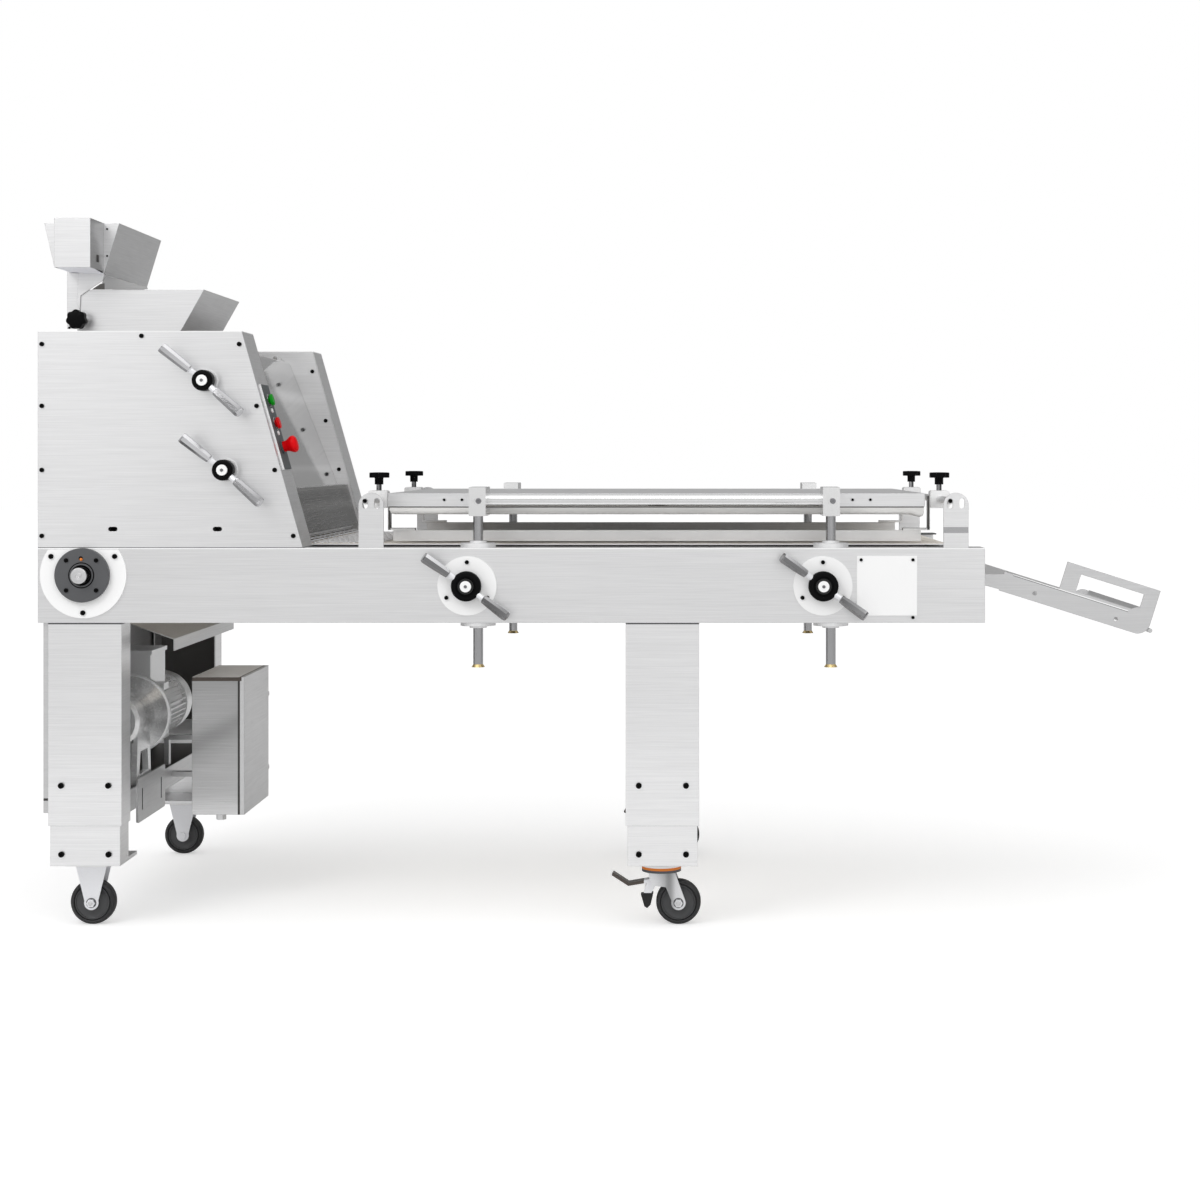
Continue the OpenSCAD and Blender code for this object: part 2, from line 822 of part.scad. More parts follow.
module motor_shelf() {
  along_y(-leg_in_y, leg_in_y)
    folded([[bay_left_x, shelf_z], [shelf_x1, shelf_z], [shelf_x1, shelf_z - shelf_lip]], -frame_t);
}

module tension_plate() {
  x0 = shelf_x1;
  difference() {
    along_x(x0, x0 + 5)
      translate([-200.5, shelf_z - 34.5]) round_square(259, 101, 8);
    for (y = [-290, -110])
      block([x0 - 1, y - 4, shelf_z - 60], [x0 + 6, y + 4, shelf_z - 10]);
  }
  rod_x(-200, shelf_z - 25, x0 - 30, x0, 16);
}

module canopy() {
  x0 = drive_x + 2;
  z0 = beam_bot_z;
  along_y(-canopy_w / 2, canopy_w / 2)
    folded([[bay_panel_x, z0], [x0, z0], [x0 + canopy_run, z0 - canopy_drop],
            [x0 + canopy_run, z0 - canopy_drop - canopy_lip]], 2);
}

module cabinet_arm() {
  y = cabinet_y1 - 24;
  block([shelf_x1 - 20, y, shelf_z], [shelf_x1 - 8, y + 20, shelf_z + 74]);
  block([shelf_x1 - 20, y, shelf_z + 62], [cabinet_x0, y + 20, shelf_z + 74]);
  block([shelf_x1, y, shelf_z - 28], [cabinet_x0, y + 20, shelf_z - 16]);
}

module motor_bay() {
  color(steel_shade) {
    end_panel();
    motor_shelf();
    tension_plate();
    canopy();
    cabinet_arm();
  }
}

// Motor with fins, end bell, terminal box and feet
module fins() {
  for (i = [0:35]) rotate(i * 10)
    translate([motor_d / 2 - 3, -1.2]) square([12, 2.4]);
}

module motor() {
  y0 = motor_near_y;
  y1 = y0 + motor_len;
  color(cast_grey) {
    rod_y(motor_x, motor_z, y0 - 12, y0, motor_flange_d);
    rod_y(motor_x, motor_z, y0, y1, motor_d);
    translate([motor_x, y1 - 30, motor_z]) rotate([90, 0, 0]) linear_extrude(motor_len - 60) fins();
    translate([motor_x, y1, motor_z]) rotate([-90, 0, 0]) rotate_extrude()
      polygon([[0, -24], [motor_d / 2 + 11, -24], [motor_d / 2 + 11, 28], [motor_d / 2 + 4, 36],
               [motor_d / 2 - 14, 40], [0, 40]]);
    block([motor_x - 40, y0 + 20, motor_z + 40], [motor_x + 40, y0 + 165, motor_z + 138]);
    block([motor_x - 44, y0 + 16, motor_z + 138], [motor_x + 44, y0 + 169, motor_z + 148]);
    for (z = [-1, 1])
      block([motor_x + 30, y0 + 60, motor_z + z * 58 - 8], [motor_x + 62, y0 + 110, motor_z + z * 58 + 8]);
  }
}

// Gearbox with a conical bell, its cut-out foot and the output stub
module gearbox() {
  y0 = gearbox_y0;
  y1 = gearbox_y1;
  foot_x = shelf_x1 - 16;
  color(zinc) {
    translate([motor_x, y1, motor_z]) rotate([90, 0, 0]) rotate_extrude()
      polygon([[0, 0], [motor_flange_d / 2 - 4, 0], [motor_flange_d / 2 - 4, 10], [66, 34], [60, 90],
               [60, 150], [52, 158], [26, 158], [26, 170], [0, 170]]);
    difference() {
      along_x(foot_x, foot_x + 14)
        polygon([[y0 + 14, shelf_z], [y1 - 20, shelf_z], [y1 - 34, motor_z], [y0 + 30, motor_z]]);
      along_x(foot_x - 1, foot_x + 15)
        polygon([[y0 + 40, shelf_z + 22], [y1 - 44, shelf_z + 22], [y1 - 52, motor_z - 72],
                 [y0 + 52, motor_z - 72]]);
      block([foot_x - 1, y0 + 20, motor_z - 50], [foot_x + 4, y1 - 30, motor_z + 1]);
    }
    block([motor_x - 60, y0 + 14, shelf_z], [foot_x + 14, y1 - 20, shelf_z + 12]);
  }
}

// Closed case round the chain from the gearbox to the drive shaft
module chain_case() {
  color(steel_shade) difference() {
    along_y(case_y0, case_y1) {
      translate([motor_x, motor_z]) circle(r = case_r);
      translate([drive_x, roller_z]) circle(r = case_r);
      polygon([[motor_x - case_r, motor_z], [motor_x + case_r, motor_z],
               [drive_x + case_r, roller_z], [drive_x - case_r, roller_z]]);
    }
    rod_y(drive_x, roller_z, case_y0 - 1, case_y1 + 1, drive_shaft_d + 2);
  }
  color(steel_shade) rod_y(motor_x, motor_z, case_y1, gearbox_y0, 30);
}

// Control cabinet with its mounting plate, switch gear and cable gland
module control_cabinet() {
  t = frame_t;
  color(steel) {
    difference() {
      block([cabinet_x0, cabinet_y0, cabinet_z], [cabinet_x1, cabinet_y1, cabinet_z + cabinet_h]);
      block([cabinet_x0 + t, cabinet_y0 + t, cabinet_z + t],
            [cabinet_x1 + 1, cabinet_y1 - t, cabinet_z + cabinet_h - t]);
      rod_z(gland_x, gland_y, cabinet_z - 1, cabinet_z + t + 1, 2 * gland_bore_r);
    }
    for (z = [0.35, 0.75])
      block([cabinet_x0 + t, cabinet_y0 + 40, cabinet_z + z * cabinet_h],
            [cabinet_x0 + 14, cabinet_y1 - 40, cabinet_z + z * cabinet_h + 35]);
    for (i = [0:3])
      block([cabinet_x0 + 14, cabinet_y0 + 50 + i * 50, cabinet_z + 0.75 * cabinet_h - 22],
            [cabinet_x0 + 64, cabinet_y0 + 94 + i * 50, cabinet_z + 0.75 * cabinet_h + 56]);
    block([cabinet_x0 + 14, cabinet_y0 + 60, cabinet_z + 0.35 * cabinet_h - 40],
          [cabinet_x0 + 74, cabinet_y0 + 200, cabinet_z + 0.35 * cabinet_h + 60]);
    difference() {
      union() {
        rod_z(gland_x, gland_y, cabinet_z - 8, cabinet_z, 26);
        translate([gland_x, gland_y, cabinet_z - 20]) cylinder(d = 24, h = 12, $fn = 6);
      }
      rod_z(gland_x, gland_y, cabinet_z - 21, cabinet_z + 1, 2 * gland_bore_r);
    }
    for (z = [50, cabinet_h - 90])
      difference() {
        union() {
          rod_z(cabinet_x1 - 1, door_hinge_y, cabinet_z + z, cabinet_z + z + 15, 10);
          rod_z(cabinet_x1 - 1, door_hinge_y, cabinet_z + z + 25, cabinet_z + z + 40, 10);
          block([cabinet_x1 - 12, cabinet_y1, cabinet_z + z],
                [cabinet_x1 - 1, cabinet_y1 + 4, cabinet_z + z + 15]);
          block([cabinet_x1 - 12, cabinet_y1, cabinet_z + z + 25],
                [cabinet_x1 - 1, cabinet_y1 + 4, cabinet_z + z + 40]);
        }
        rod_z(cabinet_x1 - 1, door_hinge_y, cabinet_z + z - 1, cabinet_z + z + 41, 5 + 2 * run);
      }
  }
}

module cabinet_door() {
  t = 2;
  color(steel) {
    difference() {
      block([door_x0, cabinet_y0, cabinet_z], [door_x1, cabinet_y1, cabinet_z + cabinet_h]);
      block([door_x0 - 1, cabinet_y0 + t, cabinet_z + t],
            [door_x1 - t, cabinet_y1 - t, cabinet_z + cabinet_h - t]);
    }
    for (z = [50, cabinet_h - 90]) {
      rod_z(cabinet_x1 - 1, door_hinge_y, cabinet_z + z, cabinet_z + z + 40, 5);
      rod_z(cabinet_x1 - 1, door_hinge_y, cabinet_z + z + 15 + gap, cabinet_z + z + 25 - gap, 10);
      block([cabinet_x1 - 1, door_hinge_y + 2, cabinet_z + z + 15 + gap],
            [door_x1, door_hinge_y + 5, cabinet_z + z + 25 - gap]);
      block([door_x1 - t, cabinet_y1 - 1, cabinet_z + z + 15 + gap],
            [door_x1, door_hinge_y + 5, cabinet_z + z + 25 - gap]);
    }
  }
}

// Head outline in X and Z, drawn in by a sheet thickness
module head_outline(inset) {
  slant = inset / cos(front_tilt);
  zt = head_z1 - inset;
  front_at_top = head_front_top + (head_z1 - zt) * front_run / head_h;
  polygon([[head_x0 + inset, head_z0], [head_x0 + inset, zt], [front_at_top - slant, zt],
           [head_front_base - slant, head_z0]]);
}

module journal_slot(x, z) {
  long_hole(x - gap_close - 0.5, x + gap_open + 0.5, z, journal_d + 1);
}

module head_plate() {
  difference() {
    along_y(-head_plate_y, -head_in_y) difference() {
      head_outline(cover_t);
      translate([upper_fixed_x, upper_z]) circle(d = journal_d + 2 * run);
      translate([lower_fixed_x, lower_z]) circle(d = journal_d + 2 * run);
      journal_slot(upper_moving_x, upper_z);
      journal_slot(lower_moving_x, lower_z);
      translate([upper_handle_x, upper_z]) circle(d = hand_shaft_d + 2 * run);
      translate([lower_handle_x, lower_z]) circle(d = hand_shaft_d + 2 * run);
      translate([mesh_bar_x, mesh_bar_z]) circle(d = mesh_bar_d);
    }
  }
  block([head_x0 + 12, -beam_y + 20, head_z0], [head_front_base - 30, -head_plate_y, head_z0 + head_foot_t]);
  for (row = [[upper_moving_x, upper_z], [lower_moving_x, lower_z]], s = [-1, 1]) {
    z = row[1] + s * (gap_block / 2 + 5 + 2 * run);
    block([row[0] - gap_block / 2 - gap_close - 1, -journal_out_y, z - 5],
          [row[0] + gap_block / 2 + gap_open + 1, -head_plate_y, z + 5]);
  }
}

module head_plates() {
  color(steel) both_sides() head_plate();
}

module head_shell() {
  difference() {
    along_y(-beam_y, -head_in_y) head_outline(0);
    along_y(-beam_y + cover_t, -head_in_y + 1) {
      head_outline(cover_t);
      translate([head_x0 + cover_t, head_z0 - 1])
        square([head_base_len - 2 * cover_t / cos(front_tilt), 2]);
    }
  }
}

// A frame on the sloped front: X across it, Y up the slope from the strip's top, Z outwards
module on_front(along) {
  translate([head_front_top, strip_y, head_z1]) rotate([0, front_tilt * -1 + 90, 0])
    translate([(strip_from_top + along), 0, 0]) children();
}

module head_covers() {
  color(steel) {
    difference() {
      head_shell();
      for (h = [[upper_handle_x, upper_z], [lower_handle_x, lower_z]])
        rod_y(h[0], h[1], -beam_y - 1, -beam_y + cover_t + 1, hand_shaft_d + 4);
      along_y(-beam_y - 1, -beam_y + cover_t + 1)
        for (x = [upper_nip_from_end + 12, lower_handle_from_end - 20])
          long_hole(head_x0 + x - 5, head_x0 + x + 5, head_z0 + 41.5, 10);
      for (a = [start_at, stop_at, estop_at])
        on_front(a) translate([0, 0, -5]) cylinder(d = stem_d + 2, h = 10);
    }
    mirror([0, 1, 0]) head_shell();
    block([plate_x0, -beam_y - 3, beam_top_z - 148.5], [plate_x0 + 132, -beam_y, beam_top_z - 17.5]);
  }
}

// Socket screws
module screw_head(x, z, y, d = 10, h = 4) {
  rod_y(x, z, y - h, y, d);
}

cover_screw_z = [26.5, 171.5, 312.5, 448.5];
inner_screw_z = [39, 141, 240, 350];

module cover_screws() {
  color(black) {
    both_sides() {
      for (h = cover_screw_z) {
        screw_head(head_x0 + 9, head_z0 + h, -beam_y);
        screw_head(head_front_base - 13.5 - h * front_run / head_h, head_z0 + h, -beam_y);
      }
      screw_head(head_x0 + head_top_len / 2 + 4, head_z1 - 11, -beam_y);
      for (x = leg_x, s = [-1, 1]) {
        screw_head(x + s * leg_bolt_spacing / 2, leg_bolt_high_z, -leg_out_y, 13, 5);
        screw_head(x + s * leg_bolt_spacing / 2, leg_bolt_low_z, -foot_out_y, 13, 5);
      }
      for (h = inner_screw_z)
        rod_y(head_front_base - 24 - h * front_run / head_h, head_z0 + h, -head_in_y, -head_in_y + 4, 12);
    }
    for (p = [[9, 139], [123, 139], [123, 12]])
      screw_head(plate_x0 + p[0], beam_top_z - 156 + p[1], -beam_y - 3, 8, 3);
    for (x = post_x, a = [90, 210, 330])
      screw_head(x - lift_shaft_dx + 48 * cos(a), lift_shaft_z + 48 * sin(a), -boss_y, 10, 4);
    for (p = [[-70, 41], [70, 41], [0, -83]])
      screw_head(drive_x + p[0], roller_z + p[1], -boss_y + 2, 11, 5);
  }
}

// Controls
module control_strip() {
  difference() {
    on_front(0) translate([0, -strip_w / 2, 0]) cube([strip_len, strip_w, strip_t]);
    for (a = [start_at, stop_at, estop_at])
      on_front(a) translate([0, 0, -1]) cylinder(d = stem_d + 2 * run, h = strip_t + 2);
  }
}

module strip_with_lamps() {
  color(dark_grey) {
    control_strip();
    for (a = lamp_at) on_front(a) translate([0, 0, strip_t]) cylinder(d = 9, h = 2);
  }
}

module push_button(along, cap_h) {
  on_front(along) {
    translate([0, 0, strip_t + button_travel + gap]) cylinder(d = button_d, h = cap_h);
    translate([0, 0, strip_t + button_travel + gap - stem_len]) cylinder(d = stem_d, h = stem_len);
  }
}

module start_button() {
  color([0.05, 0.6, 0.25]) push_button(start_at, 5);
}

module stop_button() {
  color([0.85, 0.1, 0.1]) push_button(stop_at, 5);
}

module emergency_stop() {
  color([0.9, 0.05, 0.05]) on_front(estop_at) {
    translate([0, 0, strip_t + button_travel + gap]) rotate_extrude()
      polygon([[0, 0], [12, 0], [12, 8], [16, 16], [estop_d / 2, 22], [estop_d / 2, 26],
               [estop_d / 2 - 5, 30], [0, 32]]);
    translate([0, 0, strip_t + button_travel + gap - stem_len]) cylinder(d = stem_d, h = stem_len);
  }
}

// Closing sheets between the housings, the outlet lip and the guard's hinge pins
module head_panels() {
  t = cover_t;
  color(steel_shade) {
    difference() {
      block([head_x0, -head_in_y, top_panel_z - t], [guard_hinge_x - 8, head_in_y, top_panel_z]);
      block([hopper_left_x - 1, hopper_near_y - 1, top_panel_z - t - 1],
            [hopper_left_x + 206, hopper_far_y + 1, top_panel_z + 1]);
    }
    block([head_x0, -head_in_y, head_z0 + 30], [head_x0 + t, head_in_y, top_panel_z - t]);
    along_y(-head_in_y, head_in_y)
      folded([[guard_low_x + guard_ledge, guard_low_z - t - gap],
              [guard_low_x + guard_ledge + guard_lip_run, guard_lip_z]], -t);
    rod_y(guard_hinge_x, top_panel_z + 6, -head_in_y, -head_in_y + 60, guard_hinge_d);
    rod_y(guard_hinge_x, top_panel_z + 6, head_in_y - 60, head_in_y, guard_hinge_d);
  }
}

// Hinged guard: hinge barrels, sloped front with a rolled top edge and a ledge
module front_guard() {
  t = cover_t;
  z = guard_top_z;
  slope = atan((guard_low_x - guard_top_x) / (z - guard_low_z));
  r = 14;
  hinge_z = z + 6;
  y = head_in_y - 1;
  color(steel) {
    along_y(-y, y) {
      folded(concat([[guard_hinge_x + 6, z]],
                    arc([guard_top_x - r, z - r], r, 90, slope, 6),
                    [[guard_low_x, guard_low_z], [guard_low_x + guard_ledge, guard_low_z]]), -t);
    }
    for (s = [-1, 1]) difference() {
      along_y(s * (y - 30) - 25, s * (y - 30) + 25) {
        translate([guard_hinge_x, hinge_z]) circle(d = guard_hinge_d + 6);
        translate([guard_hinge_x, z]) square([14, 4]);
      }
      rod_y(guard_hinge_x, hinge_z, s * (y - 30) - 26, s * (y - 30) + 26, guard_hinge_d + 2 * run);
    }
  }
}

// Hoppers
module lower_hopper() {
  t = hopper_t;
  left = [[hopper_left_x, lower_rim_z], [hopper_left_x, top_panel_z], [hopper_left_x + 76, top_panel_z - 26]];
  right = [[hopper_left_x + 160, top_panel_z - 26], [hopper_left_x + 204, top_panel_z + 2],
           [hopper_left_x + 242, lower_rim_z - 92], [hopper_left_x + 294, lower_rim_z]];
  color(steel_shade) {
    along_y(hopper_near_y, hopper_far_y) {
      folded(left, t);
      folded(right, t);
    }
    difference() {
      union() for (y = [hopper_near_y, hopper_far_y - t])
        along_y(y, y + t) polygon(concat(left, right));
      rod_y(hopper_pivot_x, hopper_pivot_z, hopper_near_y - 1, hopper_near_y + t + 1,
            hopper_stud_d + 2 * run);
    }
    rod_y(hopper_pivot_x, hopper_pivot_z, hopper_far_y, hopper_far_y + 14, hopper_stud_d);
    rod_y(hopper_pivot_x, hopper_pivot_z, hopper_far_y + gap + 2 * t, hopper_far_y + 14, 24);
    for (y = [hopper_near_y - 16, hopper_far_y])
      block([hopper_left_x + 6, y, top_panel_z], [hopper_left_x + 196, y + 16, top_panel_z + t]);
  }
}

module hopper_plate() {
  floor_arc = arc([upper_corner_x + 78, upper_floor_z + 160], 160, 244, 266, 6);
  difference() {
    union() {
      polygon(concat([[upper_left_x, upper_rim_z], [upper_corner_x, upper_corner_z]], floor_arc,
                     [[upper_throat_x, upper_floor_z], [upper_right_x, upper_rim_z]]));
      polygon(concat([[neck_x0, upper_floor_z + 10], [neck_x0, hopper_pivot_z - 20], [neck_x1, hopper_pivot_z - 20]],
                     arc([neck_x1 + 30, neck_bend_z], 30, 180, 120, 4),
                     [[upper_throat_x - 6, upper_floor_z - 8], [upper_throat_x - 6, upper_floor_z + 10]]));
      translate([hopper_pivot_x, hopper_pivot_z]) circle(r = 18);
    }
    translate([hopper_pivot_x, hopper_pivot_z]) circle(d = hopper_stud_d + 2 * run);
  }
}

module upper_hopper() {
  t = hopper_t;
  near = hopper_near_y - gap - t;
  far = hopper_far_y + gap + t;
  box_x0 = upper_corner_x + 33;
  color(steel) {
    along_y(near, near + t) hopper_plate();
    along_y(far - t, far) hopper_plate();
    along_y(near, far) {
      folded([[upper_left_x, upper_rim_z], [upper_corner_x, upper_corner_z], [upper_corner_x + 40, upper_floor_z + 6]],
             t);
      folded([[upper_throat_x, upper_floor_z], [upper_right_x, upper_rim_z]], t);
    }
    difference() {
      block([box_x0, near - hopper_box_depth, upper_rim_z - 112], [box_x0 + 82, near, upper_rim_z]);
      block([box_x0 + t, near - hopper_box_depth + t, upper_rim_z - 113],
            [box_x0 + 82 - t, near + 1, upper_rim_z - t]);
    }
  }
}

// A lobed knob along +Z with its stud below
module lobed_knob(d, lobes, body_h, hub_h, hub_dia, stud_d, stud_len) {
  lobe_r = d * 0.13;
  ring_r = d / 2 - lobe_r;
  translate([0, 0, hub_h]) {
    linear_extrude(body_h) {
      circle(r = ring_r);
      for (i = [0:lobes - 1]) rotate(i * 360 / lobes) translate([ring_r, 0]) circle(r = lobe_r);
    }
    translate([0, 0, body_h]) cylinder(r1 = ring_r * 0.8, r2 = ring_r * 0.55, h = 2);
  }
  cylinder(d = hub_dia, h = hub_h);
  translate([0, 0, -stud_len]) cylinder(d = stud_d, h = stud_len);
}

module hopper_knob() {
  near = hopper_near_y - gap - hopper_t;
  color(black) translate([hopper_pivot_x, near - gap, hopper_pivot_z]) rotate([90, 0, 0])
    lobed_knob(hopper_knob_d, 7, 24, 18, 26, hopper_stud_d, hopper_t * 2 + gap + 6);
}

// Scrapers on the fixed rollers and the chute between the roller pairs
module scraper(x, z, r) {
  a = 235;
  tip = [x + (r + 0.6) * cos(a), z + (r + 0.6) * sin(a)];
  folded([tip, tip + 34 * [cos(a - 55), sin(a - 55)]], 2);
  translate(tip + 34 * [cos(a - 55), sin(a - 55)]) circle(d = 14);
}

module roller_scrapers() {
  nip_top = upper_z - upper_roller_d / 2 - 14;
  nip_low = lower_z + lower_roller_d / 2 + 12;
  chute_x = head_x0 + lower_nip_from_end;
  color(zinc) along_y(-head_in_y, head_in_y) {
    scraper(upper_fixed_x, upper_z, upper_roller_d / 2);
    scraper(lower_fixed_x, lower_z, lower_roller_d / 2);
    folded([[chute_x - 62, nip_top], [chute_x - 24, nip_low]], 2);
    folded([[chute_x + 26, nip_low], [chute_x + 20, nip_top]], 2);
  }
}

// Sheeting rollers
module sheeting_roller(x, z, d, journal_y) {
  rod_y(x, z, -sheet_roller_w / 2, sheet_roller_w / 2, d);
  rod_y(x, z, -journal_y, journal_y, journal_d);
}

module upper_fixed_roller() {
  color(white) sheeting_roller(upper_fixed_x, upper_z, upper_roller_d, head_plate_y + 20);
}

module upper_moving_roller() {
  color(white) sheeting_roller(upper_moving_x, upper_z, upper_roller_d, journal_out_y);
}

module lower_fixed_roller() {
  color(white) sheeting_roller(lower_fixed_x, lower_z, lower_roller_d, head_plate_y + 20);
}

module lower_moving_roller() {
  color(white) sheeting_roller(lower_moving_x, lower_z, lower_roller_d, journal_out_y);
}

// Half width of a tooth at a distance from the pitch line, outwards positive
function tooth_half(out) = tooth_t / 2 - out * tan(tooth_flank);

module pinion_section() {
  circle(r = pinion_r - tooth_in);
  for (i = [0:pinion_teeth - 1]) rotate(i * 360 / pinion_teeth)
    polygon([[pinion_r - tooth_in - 1, -tooth_half(-tooth_in)], [pinion_r + tooth_out, -tooth_half(tooth_out)],
             [pinion_r + tooth_out, tooth_half(tooth_out)], [pinion_r - tooth_in - 1, tooth_half(-tooth_in)]]);
}

module pinion(x, z, y) {
  along_y(y - pinion_w / 2, y + pinion_w / 2) translate([x, z]) pinion_section();
}

// Gaps between rack teeth along +X, cut from the pitch line y = 0 with the teeth towards +Y
module rack_gaps(count) {
  half_top = tooth_pitch / 2 - tooth_half(tooth_out);
  half_low = tooth_pitch / 2 - tooth_half(-tooth_in);
  for (i = [-count:count]) translate([i * tooth_pitch, 0])
    polygon([[-half_low, -tooth_in], [half_low, -tooth_in], [half_top, tooth_out], [half_top, tooth_out + 2],
             [-half_top, tooth_out + 2], [-half_top, tooth_out]]);
}

// Bearing blocks that slide on the head plates, each with its rack under the pinion
module gap_block_pair(x, z, handle_x) {
  bar_top = z - pinion_r + tooth_out;
  rack_x1 = handle_x + gap_close + 16;
  both_sides() {
    difference() {
      block([x - gap_block / 2, -journal_out_y, z - gap_block / 2],
            [x + gap_block / 2, -head_plate_y - gap, z + gap_block / 2]);
      rod_y(x, z, -journal_out_y - 1, -head_plate_y, journal_d + 2 * run);
    }
    y = -head_plate_y - gap - gap_block_w / 2;
    difference() {
      block([x + gap_block / 2, y - bar_rack_w / 2, bar_top - bar_rack_h], [rack_x1, y + bar_rack_w / 2, bar_top]);
      along_y(y - bar_rack_w, y + bar_rack_w) translate([handle_x, z - pinion_r]) rack_gaps(4);
    }
  }
}

module upper_gap_blocks() {
  color(zinc) gap_block_pair(upper_moving_x, upper_z, upper_handle_x);
}

module lower_gap_blocks() {
  color(zinc) gap_block_pair(lower_moving_x, lower_z, lower_handle_x);
}

// A hand hub with two lever grips, its back face at the boss
module hub_and_grips(x, z, bore, hub_d, hub_depth) {
  translate([x, -hub_y, z]) rotate([90, 0, 0]) rotate_extrude()
    polygon([[bore, 0], [hub_d / 2 - 6, 0], [hub_d / 2, 8], [hub_d / 2, hub_depth - 4],
             [hub_d / 2 - 4, hub_depth], [bore, hub_depth]]);
  for (a = [grip_angle, grip_angle + 180])
    translate([x, -hub_y - hub_depth + 14, z]) rotate([0, -a, 0]) rotate([0, 0, -grip_lean]) rotate([0, 90, 0]) {
      translate([0, 0, hub_d / 2 - 6]) cylinder(d = grip_d * 0.6, h = 30);
      translate([0, 0, hub_d / 2 + 14]) cylinder(d1 = grip_d - 3, d2 = grip_d, h = grip_reach - hub_d / 2 - 14);
    }
}

module shaft_cap(x, z, front_y, d) {
  rod_y(x, z, -front_y - cap_t, -front_y, d);
}

module gap_handle(x, z) {
  far_y = journal_out_y + 6;
  hub_and_grips(x, z, 0, gap_hub_d, gap_hub_depth);
  shaft_cap(x, z, hub_y + gap_hub_depth, gap_hub_d - 22);
  rod_y(x, z, -hub_y, far_y, hand_shaft_d);
  for (s = [-1, 1]) pinion(x, z, s * (head_plate_y + gap + gap_block_w / 2));
}

module upper_gap_handle() {
  color(black) gap_handle(upper_handle_x, upper_z);
}

module lower_gap_handle() {
  color(black) gap_handle(lower_handle_x, lower_z);
}

module lift_shaft(i) {
  x = post_x[i] - lift_shaft_dx;
  shaft_cap(x, lift_shaft_z, hub_front_y, cap_d);
  rod_y(x, lift_shaft_z, -hub_front_y, boss_y, hand_shaft_d);
  for (s = [-1, 1]) pinion(x, lift_shaft_z, s * post_y);
}

module left_lift_shaft() {
  color(zinc) lift_shaft(0);
}

module right_lift_shaft() {
  color(zinc) lift_shaft(1);
}

module left_lift_handle() {
  color(black) hub_and_grips(post_x[0] - lift_shaft_dx, lift_shaft_z, hand_shaft_d / 2, hub_d, hub_depth);
}

module right_lift_handle() {
  color(black) hub_and_grips(post_x[1] - lift_shaft_dx, lift_shaft_z, hand_shaft_d / 2, hub_d, hub_depth);
}

// Discs and bosses of the hand shafts, the drive bearing's plate and the post bushings
module shaft_boss(x, z, d) {
  difference() {
    rod_y(x, z, -boss_y, -beam_y, d);
    rod_y(x, z, -boss_y - 1, -beam_y + 1, hand_shaft_d + 2 * run);
  }
}

module post_bushing(x) {
  difference() {
    union() {
      rod_z(x, -post_y, flange_under_z - 10, beam_top_z + top_flange_t + bush_collar, bush_d);
      rod_z(x, -post_y, beam_top_z, beam_top_z + top_flange_t, top_flange_d);
      rod_z(x, -post_y, beam_bot_z - bottom_flange_t - bush_collar, beam_bot_z + frame_t + 10, bush_d);
      rod_z(x, -post_y, beam_bot_z - bottom_flange_t, beam_bot_z, top_flange_d);
    }
    rod_z(x, -post_y, beam_bot_z - 40, beam_top_z + 40, post_d + 2 * run);
  }
}

module drive_plate() {
  difference() {
    along_y(-boss_y + 2, -beam_y) difference() {
      translate([drive_x, roller_z]) circle(d = bearing_plate_d);
      translate([drive_x - bearing_plate_d, beam_top_z - 4]) square(2 * bearing_plate_d);
    }
    rod_y(drive_x, roller_z, -boss_y - 1, -beam_y + 1, drive_shaft_d + 6);
  }
}

module bearing_plates() {
  color(white) {
    shaft_boss(upper_handle_x, upper_z, 50);
    shaft_boss(lower_handle_x, lower_z, 50);
    both_sides() {
      for (x = post_x) {
        shaft_boss(x - lift_shaft_dx, lift_shaft_z, lift_disc_d);
        post_bushing(x);
      }
      drive_plate();
    }
  }
}

// Flange bearings on the drive shaft and bearing blocks of the tail roller
module flange_bearing() {
  y1 = -boss_y + 2;
  r = bearing_d / 2;
  difference() {
    union() {
      translate([drive_x, y1, roller_z]) rotate([90, 0, 0]) rotate_extrude()
        polygon([[drive_shaft_d / 2 + run, 0], [r, 0], [r, 12], [r - 6, 16], [r - 22, 18], [r - 26, 30],
                 [drive_shaft_d / 2 + run, 30]]);
      for (a = [45, 135, 225, 315])
        translate([drive_x + 46.5 * cos(a), y1, roller_z + 46.5 * sin(a)]) rotate([90, 0, 0])
          cylinder(d = 16, h = 22, $fn = 6);
      rod_z(drive_x, y1 - 10, roller_z + r - 6, roller_z + r + 7, 7);
    }
  }
}

module tail_bearing() {
  difference() {
    block([tail_x - tail_block / 2, -web_in_y, roller_z - tail_block / 2],
          [tail_x + tail_block / 2, -web_in_y + tail_block_w, roller_z + tail_block / 2 - 12]);
    rod_y(tail_x, roller_z, -web_in_y - 1, -web_in_y + tail_block_w + 1, tail_shaft_d + 2 * run);
  }
}

module shaft_bearings() {
  color(cast_grey) both_sides() {
    flange_bearing();
    tail_bearing();
  }
}

module drive_roller() {
  y1 = boss_y + 34;
  color(zinc) {
    rod_y(drive_x, roller_z, -drum_w / 2, drum_w / 2, roller_d);
    rod_y(drive_x, roller_z, -y1, y1, drive_shaft_d);
  }
}

module tail_roller() {
  color(zinc) {
    rod_y(tail_x, roller_z, -drum_w / 2, drum_w / 2, roller_d);
    rod_y(tail_x, roller_z, -web_in_y + gap, web_in_y - gap, tail_shaft_d);
  }
}

// Endless belt round both rollers
module belt() {
  color(canvas) along_y(-belt_w / 2, belt_w / 2) difference() {
    long_hole(drive_x, tail_x, roller_z, 2 * (loop_r + belt_t));
    long_hole(drive_x, tail_x, roller_z, 2 * loop_r);
  }
}

